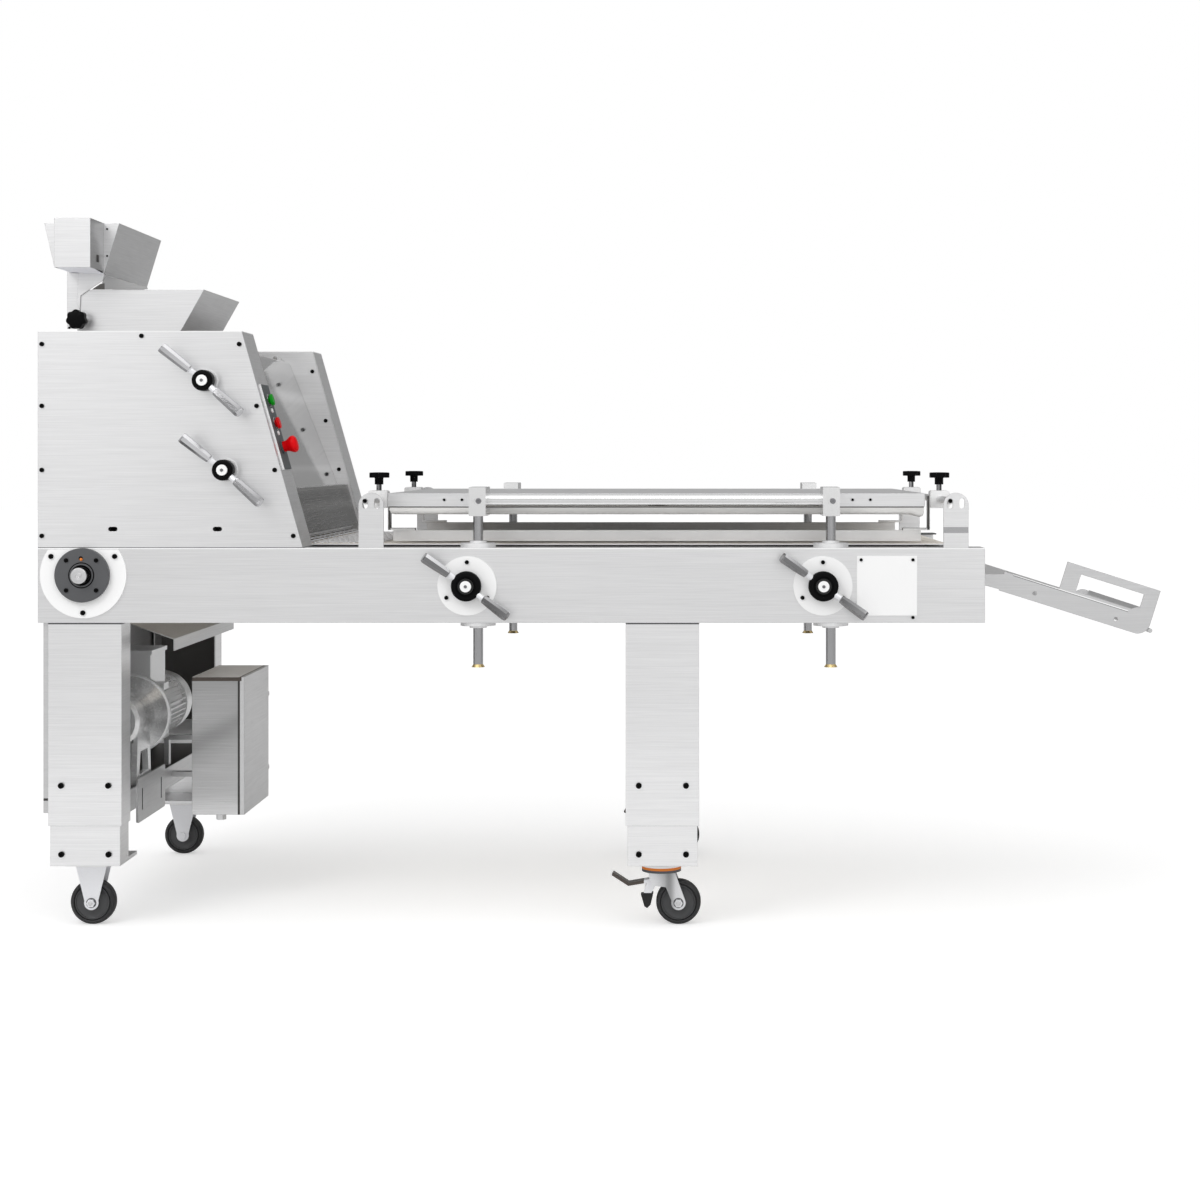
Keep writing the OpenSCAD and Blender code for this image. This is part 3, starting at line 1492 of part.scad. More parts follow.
// Mesh mat that hangs from its bar and trails along the belt
mesh_drop = mesh_bar_z - belt_top_z - 2.5;
mesh_path = concat([for (i = [0:3]) [mesh_bar_x + 4 + i * 10, mesh_bar_z - 5 - i * mesh_drop / 4.2]],
                   [for (i = [0:mesh_links - 1]) [mesh_bar_x + 52 + i * mesh_pitch, belt_top_z + 2.5]]);

module curling_mesh() {
  y = head_in_y - 25;
  color(zinc) {
    rod_y(mesh_bar_x, mesh_bar_z, -head_plate_y, head_plate_y, mesh_bar_d);
    for (p = mesh_path) rod_y(p[0], p[1], -y, y, mesh_wire_d);
    for (i = [-5:5])
      along_y(i * y / 5.2 - 2, i * y / 5.2 + 2)
        folded(concat([[mesh_bar_x, mesh_bar_z - 1]], mesh_path), 1.2);
  }
}

// Press board lift
module rack_post(x) {
  axis_x = -rack_line;
  half_count = ceil((max(lift_up, lift_down) + 12) / tooth_pitch);
  difference() {
    rod_z(x, -post_y, post_bottom_z + cap_flare_h, clamp_z + clamp_h - 8, post_d);
    translate([x - rack_line, 0, lift_shaft_z]) rotate([0, -90, 0])
      translate([0, -post_y + post_d, 0]) rotate([90, 0, 0]) linear_extrude(2 * post_d)
        rack_gaps(half_count);
    block([x - post_d, -post_y - post_d, lift_shaft_z - (half_count + 0.6) * tooth_pitch],
          [x - post_d / 2 + rack_flat, -post_y + post_d, lift_shaft_z + (half_count + 0.6) * tooth_pitch]);
  }
  translate([x, -post_y, post_bottom_z])
    cylinder(d1 = cap_flare_d, d2 = post_d, h = cap_flare_h);
}

module lift_posts() {
  color(zinc) both_sides() for (x = post_x) rack_post(x);
}

module clamp_block(x) {
  difference() {
    block([x - clamp_w / 2, -clamp_out_y, clamp_z], [x + clamp_w / 2, -clamp_in_y, clamp_z + clamp_h]);
    rod_z(x, -post_y, clamp_z - 1, clamp_z + clamp_h - 8, post_d);
    rod_y(x, clamp_bolt_z, -clamp_out_y - 1, -clamp_out_y + 6, 15);
  }
  rod_y(x, clamp_bolt_z, -clamp_out_y + 1, -clamp_out_y + 6, 12);
}

module clamp_blocks() {
  color(steel) both_sides() {
    for (x = post_x) clamp_block(x);
    rod_x(-side_tube_y, clamp_bolt_z + 2, post_x[0] + clamp_w / 2, post_x[1] - clamp_w / 2, side_tube_d);
  }
}

module press_board() {
  t = board_t;
  z0 = board_bot_z + pad_t;
  color(steel) {
    difference() {
      block([board_x0, -board_y, z0], [board_x1, board_y, board_top_z]);
      block([board_x0 + t, -board_y + t, z0 - 1], [board_x1 - t, board_y - t, board_top_z - t]);
    }
    for (x = post_x)
      block([x - 20, -board_y + t, z0], [x + 20, board_y - t, board_top_z - t]);
    both_sides() for (x = [board_x0 + 127, board_x0 + 167, board_x1 - 163, board_x1 - 123])
      rod_y(x, board_top_z - 14, -board_y - 2, -board_y, 8);
  }
}

module board_pad() {
  r = 12;
  z1 = board_bot_z + pad_t;
  color(canvas) along_y(-board_y + 1, board_y - 1)
    polygon(concat([[board_x0 + 3, z1]], arc([board_x0 + 3 + r, board_bot_z + r], r, 180, 270, 6),
                   [[board_x1 - 30, board_bot_z], [board_x1 - 12, board_bot_z - 6]],
                   arc([board_x1 - 12, board_bot_z + 4], 10, 270, 360, 6), [[board_x1 - 2, z1]]));
}

// Side guides
module upright(x) {
  r = upright_w / 2;
  along_y(-beam_y, -beam_y + upright_t) difference() {
    union() {
      translate([x - r, beam_top_z]) square([upright_w, upright_h - r]);
      translate([x, beam_top_z + upright_h - r]) circle(r = r);
    }
    for (s = [-1, 1])
      upright_hole(x + s * slot_offset, rod_z - slot_h + spigot_d, rod_z, spigot_d);
  }
}

module guide_uprights() {
  spigot_y = beam_y - upright_t;
  color(steel) {
    both_sides() for (x = upright_x) upright(x);
    for (x = rod_x) {
      rod_y(x, rod_z, -spigot_y, spigot_y, rod_d);
      rod_y(x, rod_z, -beam_y - 2, beam_y + 2, spigot_d - 2 * run);
    }
  }
}

// A side guide: slider blocks on both rods, straps and the guide bar
module guide(y) {
  s = slider / 2;
  for (i = [0, 1]) {
    x = rod_x[i];
    in_x = slider_in_x[i];
    dir = i == 0 ? 1 : -1;
    difference() {
      along_y(y - s, y + s) translate([x, rod_z]) round_square(slider, slider - 4, 5);
      rod_y(x, rod_z, y - s - 1, y + s + 1, rod_d + 2 * run);
      rod_z(x, y, rod_z, rod_z + s, knob_stud_d + 2 * run);
    }
    along_y(y - strap_w / 2, y + strap_w / 2)
      folded([[in_x, rod_z + 8], [in_x, guide_bar_top_z], [in_x + dir * strap_foot_len, guide_bar_top_z]],
             dir * strap_t);
  }
  block([board_x0, y - guide_bar_t / 2, guide_bar_z], [board_x1, y + guide_bar_t / 2, guide_bar_top_z]);
}

module near_guide() {
  color(steel_shade) guide(-near_guide_y);
}

module far_guide() {
  color(steel_shade) guide(far_guide_y);
}

module guide_knob(i, y) {
  top = rod_z + slider / 2 - 2;
  color(black) translate([rod_x[i], y, top + gap])
    lobed_knob(knob_d, knob_lobes, knob_body_h, knob_body_z, knob_stud_d + 2, knob_stud_d,
               slider / 2 - 2 - rod_d / 2 - 1 + gap);
}

module near_left_knob() {
  guide_knob(0, -near_guide_y);
}

module near_right_knob() {
  guide_knob(1, -near_guide_y);
}

module far_left_knob() {
  guide_knob(0, far_guide_y);
}

module far_right_knob() {
  guide_knob(1, far_guide_y);
}

// Catch tray: sheet with a curled end, side plates and the hand loop on the near side
module tray_frame() {
  translate([tray_bend_x, tray_bend_z]) rotate(-tray_slope) children();
}

module tray_side() {
  difference() {
    union() {
      tray_frame() {
        translate([-20, -tray_side_h]) square([tray_len - 30 + 20, tray_side_h]);
        translate([0, -tray_side_h + 30]) square([tray_len, tray_side_h - 30]);
        translate([tray_len - 30, -tray_side_h + 30]) circle(r = 30);
      }
      polygon([[beam_x1, tray_bend_z], [tray_bend_x, tray_bend_z], [tray_bend_x - 10, tray_bend_z - 40],
               [beam_x1, tray_bend_z - 20]]);
    }
    tray_frame() for (u = [60, tray_len - 78]) translate([u, -27]) circle(d = 9);
  }
}

module tray_loop() {
  tray_frame() difference() {
    translate([110, -2]) square([tray_len - 110, 67]);
    translate([148, 6]) square([tray_len - 148 - 34, 40]);
  }
}

module catch_tray() {
  t = tray_t;
  lip = 24;
  slope_x = [cos(tray_slope), -sin(tray_slope)];
  end = [tray_bend_x, tray_bend_z] + (tray_len - 40) * slope_x;
  color(steel_shade) {
    along_y(-tray_y, tray_y)
      folded([[beam_x1, tray_bend_z], [tray_bend_x, tray_bend_z], end, end + [14, 2], end + [22, 10]], -t);
    along_y(-tray_y - t, -tray_y) {
      tray_side();
      tray_loop();
    }
    along_y(tray_y, tray_y + t) tray_side();
    rod_y(tray_bend_x + (tray_len - 6) * cos(tray_slope), tray_bend_z - (tray_len - 6) * sin(tray_slope) - 30,
          -tray_y - 8, tray_y + 8, 10);
  }
}

frame_rails();
legs();
castor_mounts();
motor_bay();
motor();
gearbox();
chain_case();
control_cabinet();
cabinet_door();
head_plates();
head_covers();
cover_screws();
strip_with_lamps();  // control_strip
start_button();
stop_button();
emergency_stop();
head_panels();
front_guard();
lower_hopper();
upper_hopper();
hopper_knob();
roller_scrapers();
upper_fixed_roller();
upper_moving_roller();
lower_fixed_roller();
lower_moving_roller();
upper_gap_blocks();
lower_gap_blocks();
upper_gap_handle();
lower_gap_handle();
bearing_plates();
shaft_bearings();
drive_roller();
tail_roller();
belt();
curling_mesh();
left_lift_handle();
right_lift_handle();
left_lift_shaft();
right_lift_shaft();
lift_posts();
clamp_blocks();
press_board();
board_pad();
guide_uprights();
near_guide();
far_guide();
near_left_knob();
near_right_knob();
far_left_knob();
far_right_knob();
catch_tray();
near_swivel_fork();
far_swivel_fork();
near_left_wheel();
far_left_wheel();
near_right_wheel();
far_right_wheel();
near_brake_pedal();
far_brake_pedal();
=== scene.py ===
"""Looks of a baguette moulder: brushed steel, hand levers, knobs, controls, castors, belt and mesh.

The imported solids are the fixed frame. Pieces that stand for a solid sit where that solid is.
Sizes are in millimetres and are turned into metres where a mesh is made. Materials read metres.
"""

import math
from functools import partial

import bmesh
import bpy
from mathutils import Matrix, Vector


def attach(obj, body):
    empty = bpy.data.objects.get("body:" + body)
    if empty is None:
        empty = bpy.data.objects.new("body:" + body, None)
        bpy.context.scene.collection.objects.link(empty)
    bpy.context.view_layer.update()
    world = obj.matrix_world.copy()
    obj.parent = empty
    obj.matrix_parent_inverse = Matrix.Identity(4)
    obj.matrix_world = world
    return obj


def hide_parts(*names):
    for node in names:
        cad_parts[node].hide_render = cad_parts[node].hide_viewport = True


bl_info = {
    "name": "Baguette moulder looks",
    "version": (1, 0, 0),
    "blender": (4, 5, 0),
    "location": "View3D > Sidebar > Moulder",
    "description": "Finishes and detail pieces around the packed solids of a baguette moulder",
    "category": "Object",
}

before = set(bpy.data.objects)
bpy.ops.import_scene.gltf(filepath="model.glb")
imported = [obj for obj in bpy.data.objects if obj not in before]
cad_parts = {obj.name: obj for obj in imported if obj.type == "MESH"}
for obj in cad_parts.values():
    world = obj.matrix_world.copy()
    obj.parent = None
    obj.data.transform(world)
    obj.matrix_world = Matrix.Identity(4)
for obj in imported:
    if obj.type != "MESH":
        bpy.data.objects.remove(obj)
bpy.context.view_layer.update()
MM = 0.001

# The camera stands square to the machine's near side
CAMERA_AT = (0.184, -5.36, 1.036)
FOCAL = 66.0
PRINCIPAL = (691.0, 460.0)
PHOTO_SIZE = 1200.0

# Faces of the solids, as distances from the machine's middle plane
HOUSING_FACE = 520.0
LEG_FACE = 515.0
FOOT_FACE = 512.0
INNER_FACE = 395.0
DISC_FACE = 528.0
BEARING_FACE = 526.0
PLATE_FACE = 523.0
HOPPER_FACE = 257.0
HUB_Y = -528.3

# Places of shafts, posts, knobs and wheels, as X and Z or as X and Y
LIFT_SHAFTS = {"left_lift": (-308.2, 759.5), "right_lift": (473.8, 759.5)}
GAP_SHAFTS = {"upper_gap_handle": (-882.0, 1210.0), "lower_gap_handle": (-838.0, 1014.0)}
POSTS_X = (-288.0, 494.0)
KNOBS = {
    "near_left_knob": (-533.0, -303.0),
    "near_right_knob": (754.0, -303.0),
    "far_left_knob": (-533.0, 334.0),
    "far_right_knob": (754.0, 334.0),
}
KNOB_Z = 966.3
HOPPER_KNOB = (-1232.0, -257.6, 1360.0)
WHEELS = {
    "near_left_wheel": (-1151.0, -440.0),
    "far_left_wheel": (-1151.0, 440.0),
    "near_right_wheel": (156.0, -440.0),
    "far_right_wheel": (156.0, 440.0),
}
WHEEL_Z = 50.0
LEGS_X = (-1151.0, 121.0)
DRIVE = (-1152.0, 783.2)
TAIL = (755.0, 783.2)
BEAM_TOP = 842.5

# The head's sloped front, which carries the control strip
HEAD_TOP = (-804.5, 1320.0)
HEAD_FALL = (134.5, 477.5)
HEAD_TILT = math.atan(HEAD_FALL[0] / HEAD_FALL[1])
STRIP_FROM_TOP = 117.0 / math.cos(HEAD_TILT)
STRIP_Y = -447.0


# Materials


def add_node(tree, kind, inputs=(), **props):
    """A node whose properties are set and whose inputs are linked or given a value."""
    made = tree.nodes.new(kind)
    for key, value in props.items():
        setattr(made, key, value)
    for key, value in dict(inputs).items():
        if isinstance(value, bpy.types.NodeSocket):
            tree.links.new(value, made.inputs[key])
        else:
            made.inputs[key].default_value = value
    return made


class Finish:
    """A material that is built node by node around one Principled shader."""

    def __init__(self, name, color, metallic=0.0, roughness=0.5, **sockets):
        self.material = bpy.data.materials.new(name)
        self.material.use_nodes = True
        self.tree = self.material.node_tree
        self.shader = self.tree.nodes["Principled BSDF"]
        self.set("Base Color", (*color, 1.0))
        self.set("Metallic", metallic)
        self.set("Roughness", roughness)
        for key, value in sockets.items():
            self.set(key.replace("_", " "), value)
        self.coords = self.node("ShaderNodeTexCoord")
        self.color = color

    def set(self, socket, value):
        self.shader.inputs[socket].default_value = value

    def node(self, kind, inputs=(), **props):
        return add_node(self.tree, kind, inputs, **props)

    def link(self, socket, name):
        self.tree.links.new(socket, self.shader.inputs[name])

    def scaled(self, scale):
        """Object coordinates stretched by a scale on each axis."""
        source = self.coords.outputs["Object"]
        return self.node("ShaderNodeMapping", {"Vector": source, "Scale": scale}).outputs["Vector"]

    def noise(self, vector, scale=1.0, detail=3.0, rough=0.55):
        made = self.node("ShaderNodeTexNoise", {"Vector": vector, "Scale": scale, "Detail": detail,
                                                "Roughness": rough})
        return made.outputs["Fac"]

    def span(self, value, low, high, from_low=0.3, from_high=0.7):
        """A value carried from one span to another."""
        made = self.node("ShaderNodeMapRange", {"Value": value, "From Min": from_low, "From Max": from_high,
                                                "To Min": low, "To Max": high})
        return made.outputs["Result"]

    def math(self, operation, first, second=0.0):
        return self.node("ShaderNodeMath", {0: first, 1: second}, operation=operation).outputs[0]

    def mix(self, factor, first, second, blend="MIX"):
        made = self.node("ShaderNodeMix", {0: factor, 6: first, 7: second}, data_type="RGBA",
                         blend_type=blend)
        return made.outputs[2]

    def shade(self, factor, low, high):
        """The base colour, darkened to low and lightened to high by a factor."""
        dark, light = ((*(min(1.0, c * level) for c in self.color), 1.0) for level in (low, high))
        return self.mix(factor, dark, light)

    def bump(self, height, distance, strength=1.0):
        made = self.node("ShaderNodeBump", {"Height": height, "Distance": distance, "Strength": strength})
        self.link(made.outputs["Normal"], "Normal")

    def along(self, axis, source="Object"):
        """The coordinate on a named axis or in a direction given by three numbers."""
        vector = self.coords.outputs[source]
        if isinstance(axis, str):
            return self.node("ShaderNodeSeparateXYZ", {"Vector": vector}).outputs[axis]
        turned_to = self.node("ShaderNodeVectorMath", {0: vector, 1: axis}, operation="DOT_PRODUCT")
        return turned_to.outputs["Value"]

    def within(self, axis, low, high):
        """1 where the object coordinate on an axis lies between two values in metres."""
        along = self.along(axis)
        above, below = self.math("GREATER_THAN", along, low), self.math("LESS_THAN", along, high)
        return self.math("MULTIPLY", above, below)


def brushed_steel(name, color, roughness=0.34, metallic=0.86, grain=1.0, side_shade=1.0):
    """Sheet with a long fine grain, faint clouding, softly lit edges with painted shade along them, small
    changes of sheen, and, when asked, painted shade on faces that look along X.
    """
    made = Finish(name, color, metallic=metallic, roughness=roughness)
    fine, along = 640.0, 7.0
    normal = made.node("ShaderNodeSeparateXYZ", {"Vector": made.coords.outputs["Normal"]})
    side = made.math("GREATER_THAN", made.math("ABSOLUTE", normal.outputs["X"]), 0.6)
    coords = made.node("ShaderNodeMix", {0: side, 4: made.scaled((along, fine, fine)),
                                         5: made.scaled((fine, along, fine))}, data_type="VECTOR")
    streak = made.noise(coords.outputs[1], 1.0, 2.0, 0.7)
    bands = made.noise(made.scaled((1.6, 20.0, 75.0)), 1.0, 4.0)
    cloud = made.noise(made.coords.outputs["Object"], 2.2, 2.0)
    both = made.math("ADD", made.math("MULTIPLY", streak, 0.6), made.math("MULTIPLY", bands, 0.2))
    both = made.math("ADD", both, made.math("MULTIPLY", cloud, 0.2))
    shown = made.shade(made.span(both, 0.0, 1.0, 0.38, 0.62), 1.0 - 0.06 * grain, 1.0 + 0.045 * grain)
    # The base colour darkens along rounded edges: painted shade.
    soft = made.node("ShaderNodeBevel", {"Radius": 0.0014}, samples=4)
    flat = made.node("ShaderNodeNewGeometry")
    agree = made.node("ShaderNodeVectorMath", {0: soft.outputs[0], 1: flat.outputs["Normal"]},
                      operation="DOT_PRODUCT")
    edge = made.span(agree.outputs["Value"], 1.0, 0.0, 0.80, 0.995)
    shown = made.mix(made.math("MULTIPLY", edge, 0.45), shown, (0.02, 0.02, 0.02, 1.0))
    # Faces that look along X are darkened: painted shade.
    if side_shade != 1.0:
        shown = made.mix(side, shown, (side_shade, side_shade, side_shade, 1.0), "MULTIPLY")
    made.link(shown, "Base Color")
    made.link(made.span(both, roughness + 0.06, roughness - 0.05), "Roughness")
    height = made.node("ShaderNodeBump", {"Height": streak, "Distance": 0.00004, "Strength": 0.3,
                                          "Normal": soft.outputs[0]})
    made.link(height.outputs["Normal"], "Normal")
    return made


def grey_ramp(node, value, low, high, stops, interpolation, top=1.0):
    """Grey levels at places along a value from low to high, as a colour of at most 1."""
    part = node("ShaderNodeMapRange", {"Value": value, "From Min": low, "From Max": high})
    ramp = node("ShaderNodeValToRGB", {"Fac": part.outputs["Result"]})
    ramp.color_ramp.interpolation = interpolation
    points = ramp.color_ramp.elements
    while len(points) < len(stops):
        points.new(0.5)
    for point, (at, level) in zip(points, stops):
        point.position = (at - low) / (high - low)
        point.color = (level / top, level / top, level / top, 1.0)
    return ramp.outputs["Color"]


def banded(made, axis, low, high, stops, source="Object"):
    """Multiplies a finish's colour by grey levels at places along an axis, as soft reflections."""
    top = max(level for _, level in stops)
    shown = grey_ramp(made.node, made.along(axis, source), low, high, stops, "B_SPLINE", top)
    raised = made.node("ShaderNodeVectorMath", {0: shown, "Scale": top}, operation="SCALE")
    plain = made.shader.inputs["Base Color"].links[0].from_socket
    made.link(made.mix(1.0, plain, raised.outputs["Vector"], "MULTIPLY"), "Base Color")
    return made


def turned_metal(name, color, roughness=0.2, ring_axis="Z"):
    """Turned or drawn bar with fine rings across its length."""
    made = Finish(name, color, metallic=1.0, roughness=roughness)
    scale = {"Z": (30.0, 30.0, 2600.0), "Y": (30.0, 2600.0, 30.0), "X": (2600.0, 30.0, 30.0)}[ring_axis]
    rings = made.noise(made.scaled(scale), 1.0, 1.0)
    made.link(made.shade(rings, 0.9, 1.06), "Base Color")
    made.link(made.span(rings, roughness - 0.04, roughness + 0.08), "Roughness")
    return made


def painted(name, color, roughness=0.4, grain=900.0, depth=0.00006, wear=0.05, **sockets):
    """Even coat with a fine orange-peel texture."""
    made = Finish(name, color, roughness=roughness, **sockets)
    peel = made.noise(made.coords.outputs["Object"], grain, 2.0)
    cloud = made.noise(made.coords.outputs["Object"], 9.0, 3.0)
    made.link(made.shade(made.span(cloud, 0.0, 1.0), 1.0 - wear, 1.0 + wear), "Base Color")
    made.link(made.span(peel, roughness - 0.05, roughness + 0.06), "Roughness")
    made.bump(peel, depth, 0.5)
    return made


def woven(name, color, pitch, depth):
    """Plain weave with threads along X and Y, slub and a little flour dust."""
    made = Finish(name, color, roughness=0.9, Sheen_Weight=0.15)
    split = made.node("ShaderNodeSeparateXYZ", {"Vector": made.coords.outputs["Object"]})
    turn = 2.0 * math.pi / pitch
    warp = made.math("SINE", made.math("MULTIPLY", split.outputs["X"], turn))
    weft = made.math("SINE", made.math("MULTIPLY", split.outputs["Y"], turn))
    cloth = made.math("MULTIPLY", warp, weft)
    dust = made.noise(made.coords.outputs["Object"], 7.0, 5.0)
    slub = made.noise(made.scaled((4.0, 300.0, 300.0)), 1.0, 2.0)
    tone = made.math("ADD", made.math("MULTIPLY", dust, 0.6), made.math("MULTIPLY", slub, 0.4))
    made.link(made.shade(made.span(tone, 0.0, 1.0), 0.86, 1.08), "Base Color")
    made.bump(cloth, depth, 0.6)
    return made


def patched(name, base, *patches):
    """A copy of one finish that changes to others inside bands of the object's coordinates, in metres."""
    made = Finish.__new__(Finish)
    made.material = FINISHES[base].material.copy()
    made.material.name = name
    made.tree = made.material.node_tree
    made.shader = made.tree.nodes["Principled BSDF"]
    made.coords = made.node("ShaderNodeTexCoord")
    shown = made.shader.outputs[0]
    for patch, *bands in patches:
        inside = 1.0
        for axis, low, high in bands:
            inside = made.math("MULTIPLY", made.within(axis, low, high), inside)
        other = made.node("ShaderNodeBsdfPrincipled")
        for socket in ("Base Color", "Metallic", "Roughness"):
            other.inputs[socket].default_value = FINISHES[patch].shader.inputs[socket].default_value
        blend = made.node("ShaderNodeMixShader", {0: inside, 1: shown, 2: other.outputs[0]})
        shown = blend.outputs[0]
    made.tree.links.new(shown, made.tree.nodes["Material Output"].inputs["Surface"])
    FINISHES[name] = made


FINISHES = {}


def finish(name):
    return FINISHES[name].material


def sheet_finishes(steel):
    """Brushed sheets; some are darker copies, or darker on faces that look along X, as painted shade."""
    softer = tuple(c * 0.84 for c in steel)
    FINISHES.update(
        sheet=brushed_steel("brushed_sheet", steel),
        # hopper: painted shade on faces that look along X.
        hopper=brushed_steel("hopper_sheet", steel, side_shade=0.70),
        # cabinet: a darker copy of the sheet, painted shade where the cabinet sits under the machine.
        cabinet=brushed_steel("shaded_cabinet_sheet", tuple(c * 0.62 for c in steel), roughness=0.3, grain=1.6),
        door=brushed_steel("door_sheet", tuple(c * 0.85 for c in steel)),
        # outlet: a dark base colour, painted shade inside the head's opening.
        outlet=brushed_steel("shaded_outlet_sheet", (0.228, 0.223, 0.219), roughness=0.28),
        # shade and deep: dark sheets for the hopper's plates of painted shade.
        shade=brushed_steel("shaded_side", (0.40, 0.40, 0.40)),
        deep=brushed_steel("deep_shade_sheet", (0.13, 0.125, 0.12)),
        # lowhop: painted shade on faces that look along X.
        lowhop=brushed_steel("lower_hopper_sheet", steel, side_shade=0.66),
        tray=brushed_steel("tray_sheet", softer, roughness=0.4),
        inner=brushed_steel("inner_sheet", softer, roughness=0.4),
        polished=brushed_steel("polished_sheet", (0.60, 0.60, 0.60), roughness=0.07, metallic=1.0,
                               grain=0.5),
        light=brushed_steel("light_metal", (0.88, 0.88, 0.885), roughness=0.42, metallic=0.6),
    )


def bar_finishes():
    """Turned and drawn bars."""
    FINISHES.update(
        post=turned_metal("drawn_bar", (0.46, 0.46, 0.47), 0.16, "Z"),
        rod=turned_metal("bright_bar", (0.78, 0.78, 0.79), 0.16, "X"),
        tube=turned_metal("bright_tube", (0.83, 0.83, 0.83), 0.17, "X"),
        brass=turned_metal("brass", (0.80, 0.62, 0.30), 0.25, "Y"),
        chrome=turned_metal("chrome", (0.25, 0.25, 0.255), 0.12, "Z"),
        grip=turned_metal("polished_aluminium", (0.45, 0.45, 0.46), 0.13, "Z"),
    )


def coat_finishes(look):
    """Paints, plastics, rubber, coated metal and cloth."""
    dull, matt = {"Specular_IOR_Level": 0.2}, {"Specular_IOR_Level": 0.07}
    cap = {"Specular_IOR_Level": 0.12}
    zinc = (0.32, 1500.0, 0.00002, 0.03)
    button = (0.35, 1200.0, 0.00003, 0.08)
    FINISHES.update(
        web=painted("web_shade", (0.075, 0.072, 0.07), 0.3, 500.0, 0.00005, 0.2, **dull),
        dark=painted("shaded_sheet", (0.032, 0.029, 0.027), 0.3, 500.0, 0.00005, 0.2, **dull),
        bar=painted("bar_plastic", (0.95, 0.95, 0.95), 0.35, 500.0, Metallic=0.6),
        zinc=painted("zinc_plate", (0.88, 0.885, 0.91), *zinc, Metallic=0.5),
        fork_zinc=painted("fork_zinc", (0.88, 0.885, 0.90), *zinc, Metallic=0.5),
        cast=painted("cast_paint", (0.085, 0.087, 0.092), 0.5, 700.0, 0.0002),
        motor=painted("motor_paint", (0.97, 0.975, 0.98), 0.32, 900.0, 0.00004, 0.02, Metallic=0.6),
        casing=painted("gearbox_paint", (0.95, 0.955, 0.96), 0.24, 900.0, 0.00003, 0.02, Metallic=0.7),
        # pale: a bright coat for the box floor, painted light on an underside in shade.
        pale=painted("pale_painted_light", (0.93, 0.94, 1.0), wear=0.01),
        white=painted("white_paint", (0.96, 0.96, 0.96), 0.35, wear=0.01),
        black=painted("black_plastic", (0.003, 0.003, 0.0034), 0.45, 1500.0, 0.00005, 0.2, **matt),
        screw=painted("screw_black", (0.003, 0.003, 0.003), 0.4, 1500.0, 0.00003, 0.2, **matt),
        rubber=painted("tyre_rubber", (0.024, 0.024, 0.025), 0.55, 600.0, 0.0001, 0.3),
        rim=painted("rim_plastic", (0.055, 0.056, 0.058), 0.45, 800.0, 0.0001, 0.2),
        green=painted("start_green", tuple(look.start_color), *button, **cap),
        red=painted("stop_red", tuple(look.stop_color), *button, **cap),
        strip=painted("strip_grey", (0.070, 0.080, 0.085), 0.45, 900.0, 0.00005, 0.1),
        orange=painted("seal_orange", (0.80, 0.22, 0.02), 0.45, 900.0, 0.00005, 0.1),
        bolt=painted("bolt_steel", (0.24, 0.24, 0.25), 0.3, 900.0, 0.00003, 0.1, Metallic=0.8),
        lever=painted("lever_steel", (0.10, 0.085, 0.075), 0.35, 700.0, 0.0001, Metallic=0.7),
        roller=painted("roller_white", (0.82, 0.82, 0.80), 0.3, 800.0, 0.00005),
        belt=woven("belt_cloth", tuple(look.belt_color), look.weave_pitch, 0.00025),
        pad=woven("pad_felt", (0.88, 0.87, 0.85), 0.0011, 0.0002),
    )


def reflected_bands():
    """Soft light and dark bands that the studio leaves on bright sheets and levers."""
    banded(FINISHES["outlet"], "X", -1.3, -0.5, ((-1.25, 1.35), (-0.95, 1.35), (-0.8, 0.58), (-0.55, 0.58)))
    banded(FINISHES["outlet"], "Z", 0.865, 1.330,
           ((0.870, 0.8), (0.893, 0.72), (0.912, 0.68), (0.920, 1.5), (0.932, 1.5), (0.940, 0.7),
            (0.960, 0.75), (0.966, 1.7), (0.99, 1.7), (1.06, 2.4), (1.325, 2.4)))
    banded(FINISHES["polished"], "Z", 0.970, 1.310,
           ((0.972, 0.9), (1.005, 0.9), (1.016, 1.3), (1.026, 0.82), (1.10, 0.68), (1.175, 0.72),
            (1.190, 1.2), (1.204, 1.1), (1.215, 0.7), (1.245, 0.68), (1.262, 1.0), (1.305, 1.0)))
    banded(FINISHES["cabinet"], "Z", 0.19, 0.54,
           ((0.195, 1.6), (0.225, 1.5), (0.262, 1.02), (0.30, 1.12), (0.345, 1.0), (0.40, 0.98),
            (0.43, 1.02), (0.47, 1.0), (0.52, 0.82)))
    banded(FINISHES["cabinet"], (-0.45, 0.0, 0.89), 0.55, 0.90,
           ((0.56, 1.0), (0.70, 1.0), (0.745, 0.86), (0.772, 0.58), (0.80, 0.95), (0.88, 1.0)))
    banded(FINISHES["fork_zinc"], "X", 0.07, 0.18,
           ((0.075, 1.0), (0.105, 1.0), (0.126, 0.55), (0.133, 0.34), (0.141, 0.42), (0.150, 0.9),
            (0.175, 1.0)))
    slant = (math.sin(GRIP_ANGLE), 0.0, -math.cos(GRIP_ANGLE))
    banded(FINISHES["grip"], slant, -1.0, 1.0,
           ((-1.0, 0.5), (-0.62, 0.9), (-0.25, 1.35), (0.1, 1.6), (0.38, 2.2), (0.62, 1.9), (0.80, 0.5),
            (1.0, 0.35)), "Normal")
    banded(FINISHES["chrome"], slant, -1.0, 1.0,
           ((-1.0, 0.8), (-0.62, 1.5), (-0.25, 1.7), (0.1, 0.7), (0.38, 0.25), (0.62, 0.6), (0.80, 3.4),
            (1.0, 3.6)), "Normal")


